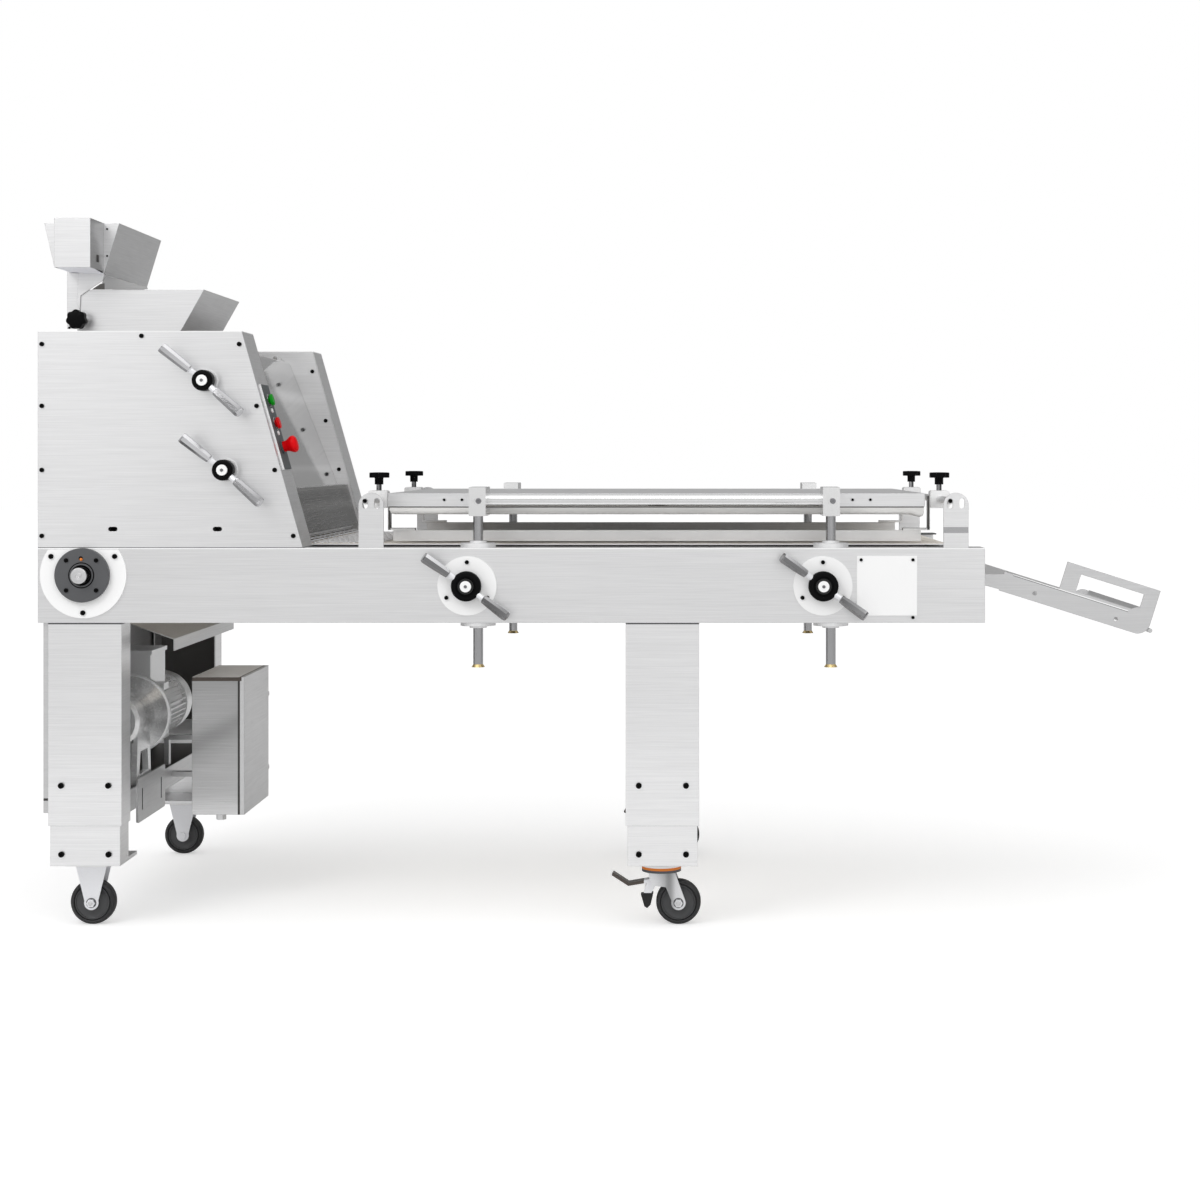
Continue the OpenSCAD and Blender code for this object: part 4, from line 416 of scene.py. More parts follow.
def patched_finishes():
    """Finishes of solids that hold more than one finish, as bands in metres."""
    patched("castor_steel", "zinc", ("orange", ("Z", 0.1243, 0.1302), ("X", 0.0, 0.3)),
            ("white", ("Z", 0.1302, 0.1415)))
    patched("fork_steel", "fork_zinc", ("cast", ("Z", 0.1165, 0.1243)), ("orange", ("Z", 0.1243, 0.1302)))
    patched("post_steel", "post", ("brass", ("Z", 0.5, 0.5836)))
    patched("plate_metal", "light", ("white", ("Z", 0.683, 0.8387)))
    # The white line along the head's top edge is a painted highlight.
    patched("cover_steel", "sheet", ("white", ("X", 0.4, 0.8)), ("cast", ("Z", 0.842, 0.8441)),
            ("white", ("Z", 1.3182, 1.3205)))
    # Painted light: the covers lighter towards their left end.
    banded(FINISHES["cover_steel"], "X", -1.22, -0.55,
           ((-1.22, 1.14), (-1.05, 1.09), (-0.85, 1.02), (-0.70, 0.99), (-0.60, 0.97)))
    # The web patch darkens the far left leg's inner web: painted shade.
    patched("leg_steel", "sheet", ("cast", ("Z", 0.6742, 0.678)),
            ("web", ("Y", 0.5105, 0.5142), ("Z", 0.25, 0.6776), ("X", -1.25, -1.0)))
    # Painted light: the legs lighter towards the bottom.
    banded(FINISHES["leg_steel"], "Z", 0.13, 0.68,
           ((0.135, 1.21), (0.30, 1.21), (0.40, 1.12), (0.52, 1.06), (0.678, 1.06)))
    strap, foot = ("Z", 0.8765, 0.960), ("Z", 0.8795, 0.8835)
    patched("guide_steel", "bar",
            ("web", ("X", -0.5096, -0.5045), strap), ("web", ("X", 0.7255, 0.7306), strap),
            ("web", ("X", -0.51, -0.447), foot), ("web", ("X", 0.669, 0.731), foot))
    # The grey band on the near right upright is a painted reflection.
    patched("upright_steel", "sheet", ("post", ("Z", 0.8754, 0.8886), ("X", 0.7, 0.9), ("Y", -0.6, 0.0)))
    # A white line of painted highlight along the tray's near rim, with a dark line under it.
    near_rim, slope = ("Y", -0.3545, -0.3495), ("X", 0.9170, 1.1790)
    patched("tray_steel", "tray", ("white", (TRAY_RISE, 1.0136, 1.0162), near_rim, slope),
            ("cast", (TRAY_RISE, 1.0124, 1.0136), near_rim, slope))
    # The black inner parts of the rails under the belt are painted shadow; the white line at the near face's
    # top is a painted highlight.
    patched("rail_steel", "sheet", ("black", ("Y", -0.46, 0.46), ("Z", 0.80, 0.8436)),
            ("white", ("Z", 0.8403, 0.8426), ("Y", -0.5205, -0.5195)))
    # The black patches in the tension plate's slots are painted shade.
    slot_x, slot_z = ("X", -1.0855, -1.0804), ("Z", 0.2295, 0.2805)
    patched("bay_steel", "inner", ("dark", ("Z", 0.2850, 0.2904), ("X", -1.3, -1.087)),
            ("black", slot_x, ("Y", -0.2945, -0.2855), slot_z),
            ("black", slot_x, ("Y", -0.1145, -0.1055), slot_z))
    # The white bands along the belt's edges are painted light.
    patched("belt_edges", "belt", ("white", ("Y", -0.39, -0.3785)), ("white", ("Y", 0.3785, 0.39)))
    patched("pad_edges", "pad", ("dark", ("Z", 0.9288, 0.9320)))
    # The white band at the cabinet's top is painted light.
    patched("cabinet_steel", "cabinet", ("dark", ("X", -0.8688, -0.8640), ("Z", 0.20, 0.5316)),
            ("lever", ("Z", 0.5225, 0.5316), ("Y", -0.2510, -0.2485)), ("white", ("Z", 0.5317, 0.5330)))
    patched("door_steel", "door", ("dark", ("X", -0.8674, -0.8638), ("Z", 0.205, 0.5330)),
            ("lever", ("Z", 0.5225, 0.5325), ("X", -0.8715, -0.8600)))
    patched("lift_shaft_steel", "rod", ("black", ("Y", -0.6, -0.5290)))
    patched("pedal_metal", "zinc", ("black", ("Z", 0.0, 0.0705)),
            ("lever", ("X", -0.1, 0.0790), ("Z", 0.078, 0.2)))


TRAY_ANGLE = math.radians(17.5)
TRAY_RISE = (math.sin(TRAY_ANGLE), 0.0, math.cos(TRAY_ANGLE))
CAD_LOOKS = {
    "rail_steel": ("frame_rails",),
    "leg_steel": ("legs",),
    "castor_steel": ("castor_mounts",),
    "bay_steel": ("motor_bay",),
    "motor": ("motor",),
    "casing": ("gearbox",),
    "inner": ("chain_case",),
    "cabinet_steel": ("control_cabinet",),
    "door_steel": ("cabinet_door",),
    "sheet": ("head_plates", "press_board"),
    "cover_steel": ("head_covers",),
    "strip": ("control_strip",),
    "outlet": ("head_panels",),
    "polished": ("front_guard",),
    "lowhop": ("lower_hopper",),
    "hopper": ("upper_hopper",),
    "zinc": ("roller_scrapers", "upper_gap_blocks", "lower_gap_blocks", "curling_mesh"),
    "roller": ("upper_fixed_roller", "upper_moving_roller", "lower_fixed_roller", "lower_moving_roller"),
    "plate_metal": ("bearing_plates",),
    "cast": ("shaft_bearings",),
    "tube": ("drive_roller", "tail_roller", "clamp_blocks"),
    "belt": ("belt",),
    "lift_shaft_steel": ("left_lift_shaft", "right_lift_shaft"),
    "post_steel": ("lift_posts",),
    "pad": ("board_pad",),
    "upright_steel": ("guide_uprights",),
    "guide_steel": ("near_guide",),
    "light": ("far_guide",),
    "tray_steel": ("catch_tray",),
    "fork_steel": ("near_swivel_fork", "far_swivel_fork"),
    "pedal_metal": ("near_brake_pedal", "far_brake_pedal"),
    "screw": ("cover_screws",),
    "green": ("start_button",),
    "red": ("stop_button", "emergency_stop"),
    "rod": ("upper_gap_handle", "lower_gap_handle"),
    "black": ("left_lift_handle", "right_lift_handle", "hopper_knob", *KNOBS),
    "rubber": tuple(WHEELS),
}


# Mesh tools


def to_object(name, mesh, body, look, replaces=(), sharp=38.0):
    """Links a finished mesh as a piece that rides on a body."""
    if mesh.materials:
        mesh.materials.clear()
    mesh.materials.append(finish(look))
    for face in mesh.polygons:
        face.use_smooth = True
    mesh.set_sharp_from_angle(angle=math.radians(sharp))
    made = bpy.data.objects.new(name, mesh)
    bpy.context.scene.collection.objects.link(made)
    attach(made, body)
    if replaces:
        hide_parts(*replaces)
    return made


def close(shape, name):
    """Turns a bmesh that is drawn in millimetres into a mesh in metres."""
    bmesh.ops.remove_doubles(shape, verts=shape.verts, dist=0.005)
    bmesh.ops.recalc_face_normals(shape, faces=shape.faces)
    bmesh.ops.scale(shape, vec=(MM, MM, MM), verts=shape.verts)
    mesh = bpy.data.meshes.new(name)
    shape.to_mesh(mesh)
    shape.free()
    return mesh


def frame_of(origin, axis, up=(0, 0, 1)):
    """A matrix whose Z lies along an axis and whose X is as near to up as can be."""
    z = Vector(axis).normalized()
    x = Vector(up) - z * z.dot(Vector(up))
    if x.length < 1e-4:
        x = Vector((1, 0, 0)) - z * z.x
    x.normalize()
    y = z.cross(x)
    turn = Matrix((x, y, z)).transposed().to_4x4()
    return Matrix.Translation(Vector(origin)) @ turn


def facing_side(x, z, distance, side=-1):
    """A place that looks away from the machine's middle plane, at a distance from it."""
    return frame_of((x, side * distance, z), (0, side, 0))


def circle_points(radius, steps, start=0.0):
    angles = (start + 2 * math.pi * i / steps for i in range(steps))
    return [(radius * math.cos(angle), radius * math.sin(angle)) for angle in angles]


def flat_reach(angle, flats):
    """How far out a flat lies at an angle, as a share of its corner's radius."""
    sector = 2 * math.pi / flats
    return math.cos(sector / 2) / math.cos(angle % sector - sector / 2)


def join_rings(shape, first, second):
    """A closed band of faces between two rings with as many corners."""
    for i in range(len(first)):
        j = (i + 1) % len(first)
        shape.faces.new([first[i], first[j], second[j], second[i]])


def lathe(shape, profile, place, steps=48, flats=None):
    """Turns a closed profile of (radius, height) round the Z axis of a place."""
    rings = []
    for i in range(steps):
        angle = 2.0 * math.pi * i / steps
        reach = flat_reach(angle, flats) if flats else 1.0
        c, s = reach * math.cos(angle), reach * math.sin(angle)
        rings.append([shape.verts.new(place @ Vector((r * c, r * s, height))) for r, height in profile])
    for i in range(steps):
        a, b = rings[i], rings[(i + 1) % steps]
        for k in range(len(profile) - 1):
            first_on_axis, next_on_axis = profile[k][0] < 1e-6, profile[k + 1][0] < 1e-6
            if first_on_axis and next_on_axis:
                continue
            corners = [a[k], b[k], b[k + 1], a[k + 1]]
            if first_on_axis:
                corners = [a[k], b[k + 1], a[k + 1]]
            elif next_on_axis:
                corners = [a[k], b[k], a[k + 1]]
            shape.faces.new(corners)


def prism(shape, outline, place, low, high, bevel=0.0, segments=2):
    """A flat outline given thickness along the Z axis of a place, with softened edges."""
    bottom = [shape.verts.new(place @ Vector((x, y, low))) for x, y in outline]
    top = [shape.verts.new(place @ Vector((x, y, high))) for x, y in outline]
    ends = [shape.faces.new(list(reversed(bottom))), shape.faces.new(top)]
    join_rings(shape, bottom, top)
    if bevel:
        rim = [edge for end in ends for edge in end.edges]
        bmesh.ops.bevel(shape, geom=rim, offset=bevel, segments=segments, affect="EDGES", profile=0.6)


def brick(shape, low, high, bevel=0.0):
    corners = [(low[0], low[1]), (high[0], low[1]), (high[0], high[1]), (low[0], high[1])]
    prism(shape, corners, Matrix.Identity(4), low[2], high[2], bevel)


def turned(name, profile, place, steps, body, look, replaces=()):
    """A piece made by turning one profile round the Z axis of a place."""
    shape = bmesh.new()
    lathe(shape, profile, place, steps)
    return to_object(name, close(shape, name), body, look, replaces)


def cut_plate(name, outline, place, thick, body, look):
    """A flat piece cut to an outline, which stands on the plane of a place."""
    shape = bmesh.new()
    prism(shape, outline, place, 0.0, thick)
    return to_object(name, close(shape, name), body, look)


# Hand levers

GRIP_ANGLE = math.radians(140.0)
GRIP_LEAN = math.radians(12.0)
LIFT_TURN = math.radians(4.5)
LIFT_HUB_DEPTH, GAP_HUB_DEPTH = 28.0, 40.0
LIFT_CAP, GAP_CAP = 12.3, 12.0
LIFT_CAP_RAISED = 3.3
GRIP_IN_HUB = 14.0
PINION_Y, PINION_HALF = 420.3, 8.0


def grip_place(x, z, angle, depth):
    """Where a grip starts, inside the hub, and the way that it points."""
    flat = math.cos(GRIP_LEAN)
    out = (math.cos(angle) * flat, -math.sin(GRIP_LEAN), math.sin(angle) * flat)
    return frame_of((x, HUB_Y - depth + GRIP_IN_HUB, z), out, (0, -1, 0))


def lever_grips(name, x, z, body, hub, length, look, turn):
    """Two tapered grips with eight flats, each on a slim round neck."""
    radius, depth, _ = hub
    start = radius + 13.0
    neck = [(0, radius - 8), (6.6, radius - 8), (6.6, start), (7.6, start + 1), (7.6, start + 3.8),
            (0, start + 3.8)]
    grip = [(0, start + 2), (8.4, start + 2), (9.6, start + 4), (10.6, start + 16), (11.6, length - 31),
            (12.2, length - 9), (12.0, length - 3), (10.6, length), (0, length)]
    grips, necks = bmesh.new(), bmesh.new()
    for angle in (GRIP_ANGLE + turn, GRIP_ANGLE + turn + math.pi):
        place = grip_place(x, z, angle, depth)
        lathe(necks, neck, place, 32)
        lathe(grips, grip, place @ Matrix.Rotation(math.pi / 8, 4, "Z"), 48, flats=8)
    to_object(name + "_necks", close(necks, name + "_necks"), body, "zinc")
    to_object(name, close(grips, name), body, look, sharp=20.0)


def lever_hub(name, x, z, body, hub, replaces):
    """Black hub with a rounded rim and a recessed face."""
    r, depth, _ = hub
    profile = [(0, 0), (r - 7, 0), (r - 5, 1.5), (r - 1, 7), (r, 11), (r, depth - 5.5),
               (r - 0.8, depth - 2.4), (r - 2.6, depth - 0.5), (r - 5, depth), (r * 0.66, depth),
               (r * 0.62, depth - 1.4), (0, depth - 1.4)]
    turned(name, profile, frame_of((x, HUB_Y, z), (0, -1, 0)), 72, body, "black", replaces)


def lever_cap(name, x, z, body, hub, raised):
    """White washer with a socket screw in the middle of the hub."""
    _, depth, r = hub
    place = frame_of((x, HUB_Y - depth - raised, z), (0, -1, 0))
    turned(name + "_screw", [(0, 1.5), (3.6, 1.5), (3.6, 3.4), (2.6, 3.7), (1.7, 2.2), (0, 2.2)], place, 32,
           body, "bolt")
    turned(name, [(0, -4.0), (r, -4.0), (r, 1.6), (r - 0.6, 2.4), (6.2, 2.4), (5.6, 1.6), (5.2, 1.6),
                  (4.9, 2.9), (3.4, 2.9), (3.0, 0.4), (0, 0.4)], place, 48, body, "white")


def gear_points(tip=13.6, root=9.9, teeth=12):
    """The outline of a pinion with straight-sided teeth."""
    half_low, half_top = 0.20, 0.085
    corners = ((root, -half_low), (tip, -half_top), (tip, half_top), (root, half_low))
    points = []
    for i in range(teeth):
        middle = 2 * math.pi * i / teeth
        points += [(r * math.cos(middle + off), r * math.sin(middle + off)) for r, off in corners]
    return points


def lever_shaft(name, x, z, body):
    """Through shaft of a gap handle with its two pinions."""
    shape = bmesh.new()
    place = frame_of((x, 0, z), (0, -1, 0), (1, 0, 0))
    lathe(shape, [(0, -441), (9.2, -441), (10, -440.2), (10, 528.3), (0, 528.3)], place, 40)
    for middle in (-PINION_Y, PINION_Y):
        prism(shape, gear_points(), place, middle - PINION_HALF, middle + PINION_HALF, 0.4, 1)
    to_object(name, close(shape, name), body, "rod")


class MOULDER_OT_levers(bpy.types.Operator):
    """Hand levers of the lift and of both roller gaps"""

    bl_idname = "moulder.levers"
    bl_label = "Hand levers"

    def execute(self, context):
        sizes = context.scene.moulder_sizes
        length = sizes.grip_length / MM
        lift_hub = (sizes.lift_hub_radius / MM, LIFT_HUB_DEPTH, LIFT_CAP)
        gap_hub = (sizes.gap_hub_radius / MM, GAP_HUB_DEPTH, GAP_CAP)
        for body, (x, z) in LIFT_SHAFTS.items():
            lever_hub(body + "_hub", x, z, body, lift_hub, [body + "_handle"])
            lever_grips(body + "_grips", x, z, body, lift_hub, length, "chrome", LIFT_TURN)
            lever_cap(body + "_cap", x, z, body, lift_hub, LIFT_CAP_RAISED)
        for body, (x, z) in GAP_SHAFTS.items():
            lever_hub(body + "_hub", x, z, body, gap_hub, [body])
            lever_grips(body + "_grips", x, z, body, gap_hub, length, "grip", 0.0)
            lever_cap(body + "_cap", x, z, body, gap_hub, 0.0)
            lever_shaft(body + "_shaft", x, z, body)
        return {"FINISHED"}


# Lobed knobs


def lobed_outline(radius, lobes, dip, steps=90):
    """A circle whose edge dips between its lobes."""
    points = []
    for i in range(steps):
        angle = 2 * math.pi * i / steps
        wave = 0.5 + 0.5 * math.cos(lobes * angle)
        reach = radius - dip * (1 - wave ** 0.7)
        points.append((reach * math.cos(angle), reach * math.sin(angle)))
    return points


def lobed_head(shape, place, radius, lobes, dip, low, high, crown):
    """Lobed disc with rounded rims and a domed top."""
    levels = [(0.95, low), (0.99, low + 0.5), (1.0, low + 1.6), (1.0, high - 1.8), (0.985, high - 0.6),
              (0.94, high), (0.5, high + crown * 0.8)]
    outline = lobed_outline(radius, lobes, dip)
    rings = [[shape.verts.new(place @ Vector((px * share, py * share, height))) for px, py in outline]
             for share, height in levels]
    for a, b in zip(rings, rings[1:]):
        join_rings(shape, a, b)
    top = shape.verts.new(place @ Vector((0, 0, high + crown)))
    bottom = shape.verts.new(place @ Vector((0, 0, low)))
    for i in range(len(outline)):
        j = (i + 1) % len(outline)
        shape.faces.new([rings[-1][i], rings[-1][j], top])
        shape.faces.new([rings[0][j], rings[0][i], bottom])


def guide_knob(name, x, y, radius):
    """Five-lobed knob and its stud, on a slider block."""
    place = Matrix.Translation((x, y, KNOB_Z))
    shape = bmesh.new()
    lobed_head(shape, place, radius, 5, 4.6, 29, 41, 0.6)
    lathe(shape, [(0, 13.5), (9.4, 13.5), (9.9, 14.2), (9.9, 27), (10.6, 29.4), (0, 29.4)], place, 40)
    to_object(name + "_head", close(shape, name), name, "black", [name])
    turned(name + "_stud", [(0, -12.5), (4.4, -12.5), (5.0, -11.8), (5.0, -0.3), (6.0, 0.0), (6.0, 13.6),
                            (0, 13.6)], place, 32, name, "chrome")


def hopper_clamp(radius):
    """Seven-lobed clamp knob and its stud, at the tilting hopper's pivot."""
    place = frame_of(HOPPER_KNOB, (0, -1, 0))
    shape = bmesh.new()
    lobed_head(shape, place, radius, 7, 3.0, 18, 42, 1.6)
    lathe(shape, [(0, 3), (12.4, 3), (13, 4), (13, 14), (15, 18.4), (0, 18.4)], place, 40)
    to_object("hopper_knob_head", close(shape, "hopper_knob_head"), "hopper_knob", "black",
              ["hopper_knob"])
    turned("hopper_knob_stud",
           [(0, -10), (3.6, -10), (4, -9.4), (4, 0), (17.6, 0.2), (18.4, 1.0), (18.4, 12.2), (17.6, 13.0),
            (0, 13.0)], place, 56, "hopper_knob", "chrome")


class MOULDER_OT_knobs(bpy.types.Operator):
    """Lobed knobs on the slider blocks and on the upper hopper"""

    bl_idname = "moulder.knobs"
    bl_label = "Lobed knobs"

    def execute(self, context):
        sizes = context.scene.moulder_sizes
        for name, (x, y) in KNOBS.items():
            guide_knob(name, x, y, sizes.knob_radius / MM)
        hopper_clamp(sizes.hopper_knob_radius / MM)
        return {"FINISHED"}


# Controls

BUTTON_BASE = 7.3
START_DOWN, STOP_DOWN, EMERGENCY_DOWN = 36.6, 90.0, 144.6
INDICATORS_DOWN = (59.9, 111.8)
STRIP_MIDDLE, STRIP_HALF = 98.0, 98.0


def front_place(along):
    """A place on the sloped front, so far down from the strip's top, with Z outwards."""
    down = STRIP_FROM_TOP + along
    x = HEAD_TOP[0] + down * math.sin(HEAD_TILT)
    z = HEAD_TOP[1] - down * math.cos(HEAD_TILT)
    return frame_of((x, STRIP_Y, z), (math.cos(HEAD_TILT), 0, math.sin(HEAD_TILT)), (0, 1, 0))


def push_button(name, along, look):
    """Flat button cap and the ring that it is pressed into."""
    place, base = front_place(along), BUTTON_BASE
    turned(name + "_cap", [(0, base - 14), (8, base - 14), (8, base), (12.4, base), (13, base + 0.6),
                           (13, base + 5.2), (12.2, base + 6.4), (9.5, base + 6.8), (0, base + 6.0)],
           place, 48, name, look, [name])
    turned(name + "_ring", [(13.3, 3.0), (14.8, 3.0), (14.8, 3.6), (14.4, 4.1), (13.3, 4.1), (13.3, 3.0)],
           place, 48, "machine", "chrome")


def emergency_button():
    """Mushroom head with its ring."""
    place, base = front_place(EMERGENCY_DOWN), BUTTON_BASE
    turned("emergency_stop_head",
           [(0, base - 14), (8, base - 14), (8, base), (12.0, base), (12.0, base + 7), (13.6, base + 11),
            (17.4, base + 17), (18.9, base + 21), (18.9, base + 25), (17.6, base + 28), (13.5, base + 30.8),
            (6, base + 31.8), (0, base + 32)],
           place, 56, "emergency_stop", "red", ["emergency_stop"])
    turned("emergency_stop_ring",
           [(12.4, 3.0), (15.5, 3.0), (15.5, 5.6), (14.6, 6.6), (12.4, 6.8), (12.4, 3.0)],
           place, 48, "machine", "strip")


class MOULDER_OT_controls(bpy.types.Operator):
    """Start, stop and emergency buttons with their rings, the two indicator caps and a white line of painted
    highlight along the strip's edge
    """

    bl_idname = "moulder.controls"
    bl_label = "Controls"

    def execute(self, context):
        push_button("start_button", START_DOWN, "green")
        push_button("stop_button", STOP_DOWN, "red")
        emergency_button()
        # A thin white plate along the strip's left edge: a painted highlight.
        edge = [(-46.4, -STRIP_HALF), (-45.1, -STRIP_HALF), (-45.1, STRIP_HALF), (-46.4, STRIP_HALF)]
        cut_plate("strip_edge", edge, front_place(STRIP_MIDDLE), 3.4, "machine", "white")
        for i, along in enumerate(INDICATORS_DOWN):
            turned(f"indicator_{i + 1}",
                   [(0, 3.0), (5.2, 3.0), (5.2, 5.2), (4.6, 6.0), (2.0, 6.4), (0, 6.5)],
                   front_place(along), 32, "machine", "white")
        return {"FINISHED"}


# Castor wheels

TYRE_HALF = 16.0


def tyre_profile(half):
    """Tread and side walls of a tyre, from its inside round to its inside."""
    side = [(37, half - 7), (40.4, half - 6.6), (41, half - 0.8), (43, half), (47, half - 2.2),
            (49.4, half - 6), (50, 6)]
    return [(r, -h) for r, h in side] + list(reversed(side)) + [(37, -half + 7)]


class MOULDER_OT_wheels(bpy.types.Operator):
    """Castor wheels: stepped rim with its hub, and rubber tyre"""

    bl_idname = "moulder.wheels"
    bl_label = "Castor wheels"

    def execute(self, context):
        half = TYRE_HALF
        rim_side = [(6.1, 0), (6.1, half + 2), (13.5, half + 2), (15.5, half + 1), (16.5, half - 3),
                    (19, half - 4.4), (33, half - 5.0), (35.4, half - 3.6), (36.4, half - 0.8),
                    (38.2, half - 0.6), (38.8, half - 2.0), (38.8, half - 7.4), (37.2, half - 7.6),
                    (37.2, 0)]
        for name, (x, y) in WHEELS.items():
            place = frame_of((x, y, WHEEL_Z), (0, -1, 0))
            turned(name + "_tyre", tyre_profile(half), place, 96, name, "rubber", [name])
            rim = bmesh.new()
            for turn in (math.pi, 0.0):
                lathe(rim, rim_side, place @ Matrix.Rotation(turn, 4, "X"), 96)
            to_object(name + "_rim", close(rim, name + "_rim"), name, "rim")
        return {"FINISHED"}


# Screws

SOCKET_SIDES = 6
SCREW_STEPS = 24
SPIN_SEED = 3
COVER_SCREW_H = (26.5, 171.5, 312.5, 448.5)
INNER_SCREW_H = (40.7, 169.2, 296.3, 425.0)
REAR_SCREW_X, FRONT_SCREW_X, INNER_SCREW_X = -1244.0, -683.5, -691.0
TOP_SCREW = (-1024.75, 466.5)
INNER_FALL = 0.2718
LEG_SCREW_OFF, LEG_SCREW_Z, FOOT_SCREW_Z = 52.0, 319.0, 167.0
DISC_SCREW_RADIUS = 52.0
BEARING_SCREWS = ((-70.0, 41.0), (70.0, 41.0), (0.0, -83.0))
PLATE_SCREWS = ((558.0, -26.0), (672.0, -26.0), (672.0, -153.0))


def screw_shape(name, radius, height, socket):
    """A socket screw's head at the origin, standing on Z = 0, with a six-sided socket."""
    shape = bmesh.new()

    def ring(reach, h, flats=None):
        corners = []
        for i in range(SCREW_STEPS):
            angle = 2 * math.pi * i / SCREW_STEPS
            r = reach * flat_reach(angle, flats) if flats else reach
            corners.append(shape.verts.new((r * math.cos(angle), r * math.sin(angle), h)))
        return corners

    rings = [ring(radius, 0.0), ring(radius, height - 0.5), ring(radius - 0.5, height),
             ring(socket, height, SOCKET_SIDES), ring(socket, height * 0.45, SOCKET_SIDES)]
    for a, b in zip(rings, rings[1:]):
        join_rings(shape, a, b)
    shape.faces.new(rings[-1])
    shape.faces.new(list(reversed(rings[0])))
    bmesh.ops.scale(shape, vec=(MM, MM, MM), verts=shape.verts)
    mesh = bpy.data.meshes.new(name)
    shape.to_mesh(mesh)
    shape.free()
    return mesh


def scatter_tree(name, material):
    """Geometry nodes: one shape at each point, turned to the point's facing and scaled by its size."""
    tree = bpy.data.node_groups.new(name, "GeometryNodeTree")
    new_input = partial(tree.interface.new_socket, in_out="INPUT")
    new_input("Geometry", socket_type="NodeSocketGeometry")
    new_input("Shape", socket_type="NodeSocketObject")
    new_input("Size", socket_type="NodeSocketFloat").default_value = 1.0
    new_input("Spin seed", socket_type="NodeSocketInt").default_value = SPIN_SEED
    tree.interface.new_socket("Geometry", in_out="OUTPUT", socket_type="NodeSocketGeometry")
    node = partial(add_node, tree)
    given = node("NodeGroupInput").outputs
    shape = node("GeometryNodeObjectInfo", {"Object": given["Shape"]})
    facing = node("GeometryNodeInputNamedAttribute", {"Name": "facing"}, data_type="FLOAT_VECTOR")
    size = node("GeometryNodeInputNamedAttribute", {"Name": "size"}, data_type="FLOAT")
    align = node("FunctionNodeAlignRotationToVector", {"Vector": facing.outputs["Attribute"]}, axis="Z")
    spin = node("FunctionNodeRandomValue", {2: 0.0, 3: math.pi, "Seed": given["Spin seed"]},
                data_type="FLOAT")
    to_turn = node("FunctionNodeAxisAngleToRotation", {"Angle": spin.outputs[1]})
    turn = node("FunctionNodeRotateRotation", {
        "Rotation": align.outputs["Rotation"], "Rotate By": to_turn.outputs["Rotation"]},
        rotation_space="LOCAL")
    scale = node("ShaderNodeMath", {0: size.outputs["Attribute"], 1: given["Size"]}, operation="MULTIPLY")
    place = node("GeometryNodeInstanceOnPoints", {
        "Points": given["Geometry"], "Instance": shape.outputs["Geometry"],
        "Rotation": turn.outputs["Rotation"], "Scale": scale.outputs[0]})
    real = node("GeometryNodeRealizeInstances", {"Geometry": place.outputs["Instances"]})
    paint = node("GeometryNodeSetMaterial", {"Geometry": real.outputs["Geometry"], "Material": material})
    node("NodeGroupOutput", {"Geometry": paint.outputs["Geometry"]})
    return tree


def scatter(name, shape_mesh, points, body, look, replaces=()):
    """Places a shape at points of (place, facing, size) with the scatter tree and keeps the plain mesh."""
    cloud = bpy.data.meshes.new(name + "_points")
    cloud.from_pydata([Vector(p) * MM for p, _, _ in points], [], [])
    facing = cloud.attributes.new("facing", "FLOAT_VECTOR", "POINT")
    facing.data.foreach_set("vector", [c for _, direction, _ in points for c in direction])
    size = cloud.attributes.new("size", "FLOAT", "POINT")
    size.data.foreach_set("value", [share for _, _, share in points])
    seed_object = bpy.data.objects.new(name + "_shape", shape_mesh)
    holder = bpy.data.objects.new(name + "_cloud", cloud)
    for made in (seed_object, holder):
        bpy.context.scene.collection.objects.link(made)
    tree = scatter_tree(name + "_tree", finish(look))
    modifier = holder.modifiers.new("Scatter", "NODES")
    modifier.node_group = tree
    sockets = {item.name: item.identifier for item in tree.interface.items_tree if item.in_out == "INPUT"}
    modifier[sockets["Shape"]] = seed_object
    modifier[sockets["Size"]] = 1.0
    modifier[sockets["Spin seed"]] = SPIN_SEED
    bpy.context.view_layer.update()
    shown = holder.evaluated_get(bpy.context.evaluated_depsgraph_get())
    mesh = bpy.data.meshes.new_from_object(shown)
    mesh.name = name
    holder.modifiers.clear()
    bpy.data.objects.remove(holder)
    bpy.data.objects.remove(seed_object)
    to_object(name, mesh, body, look, replaces)


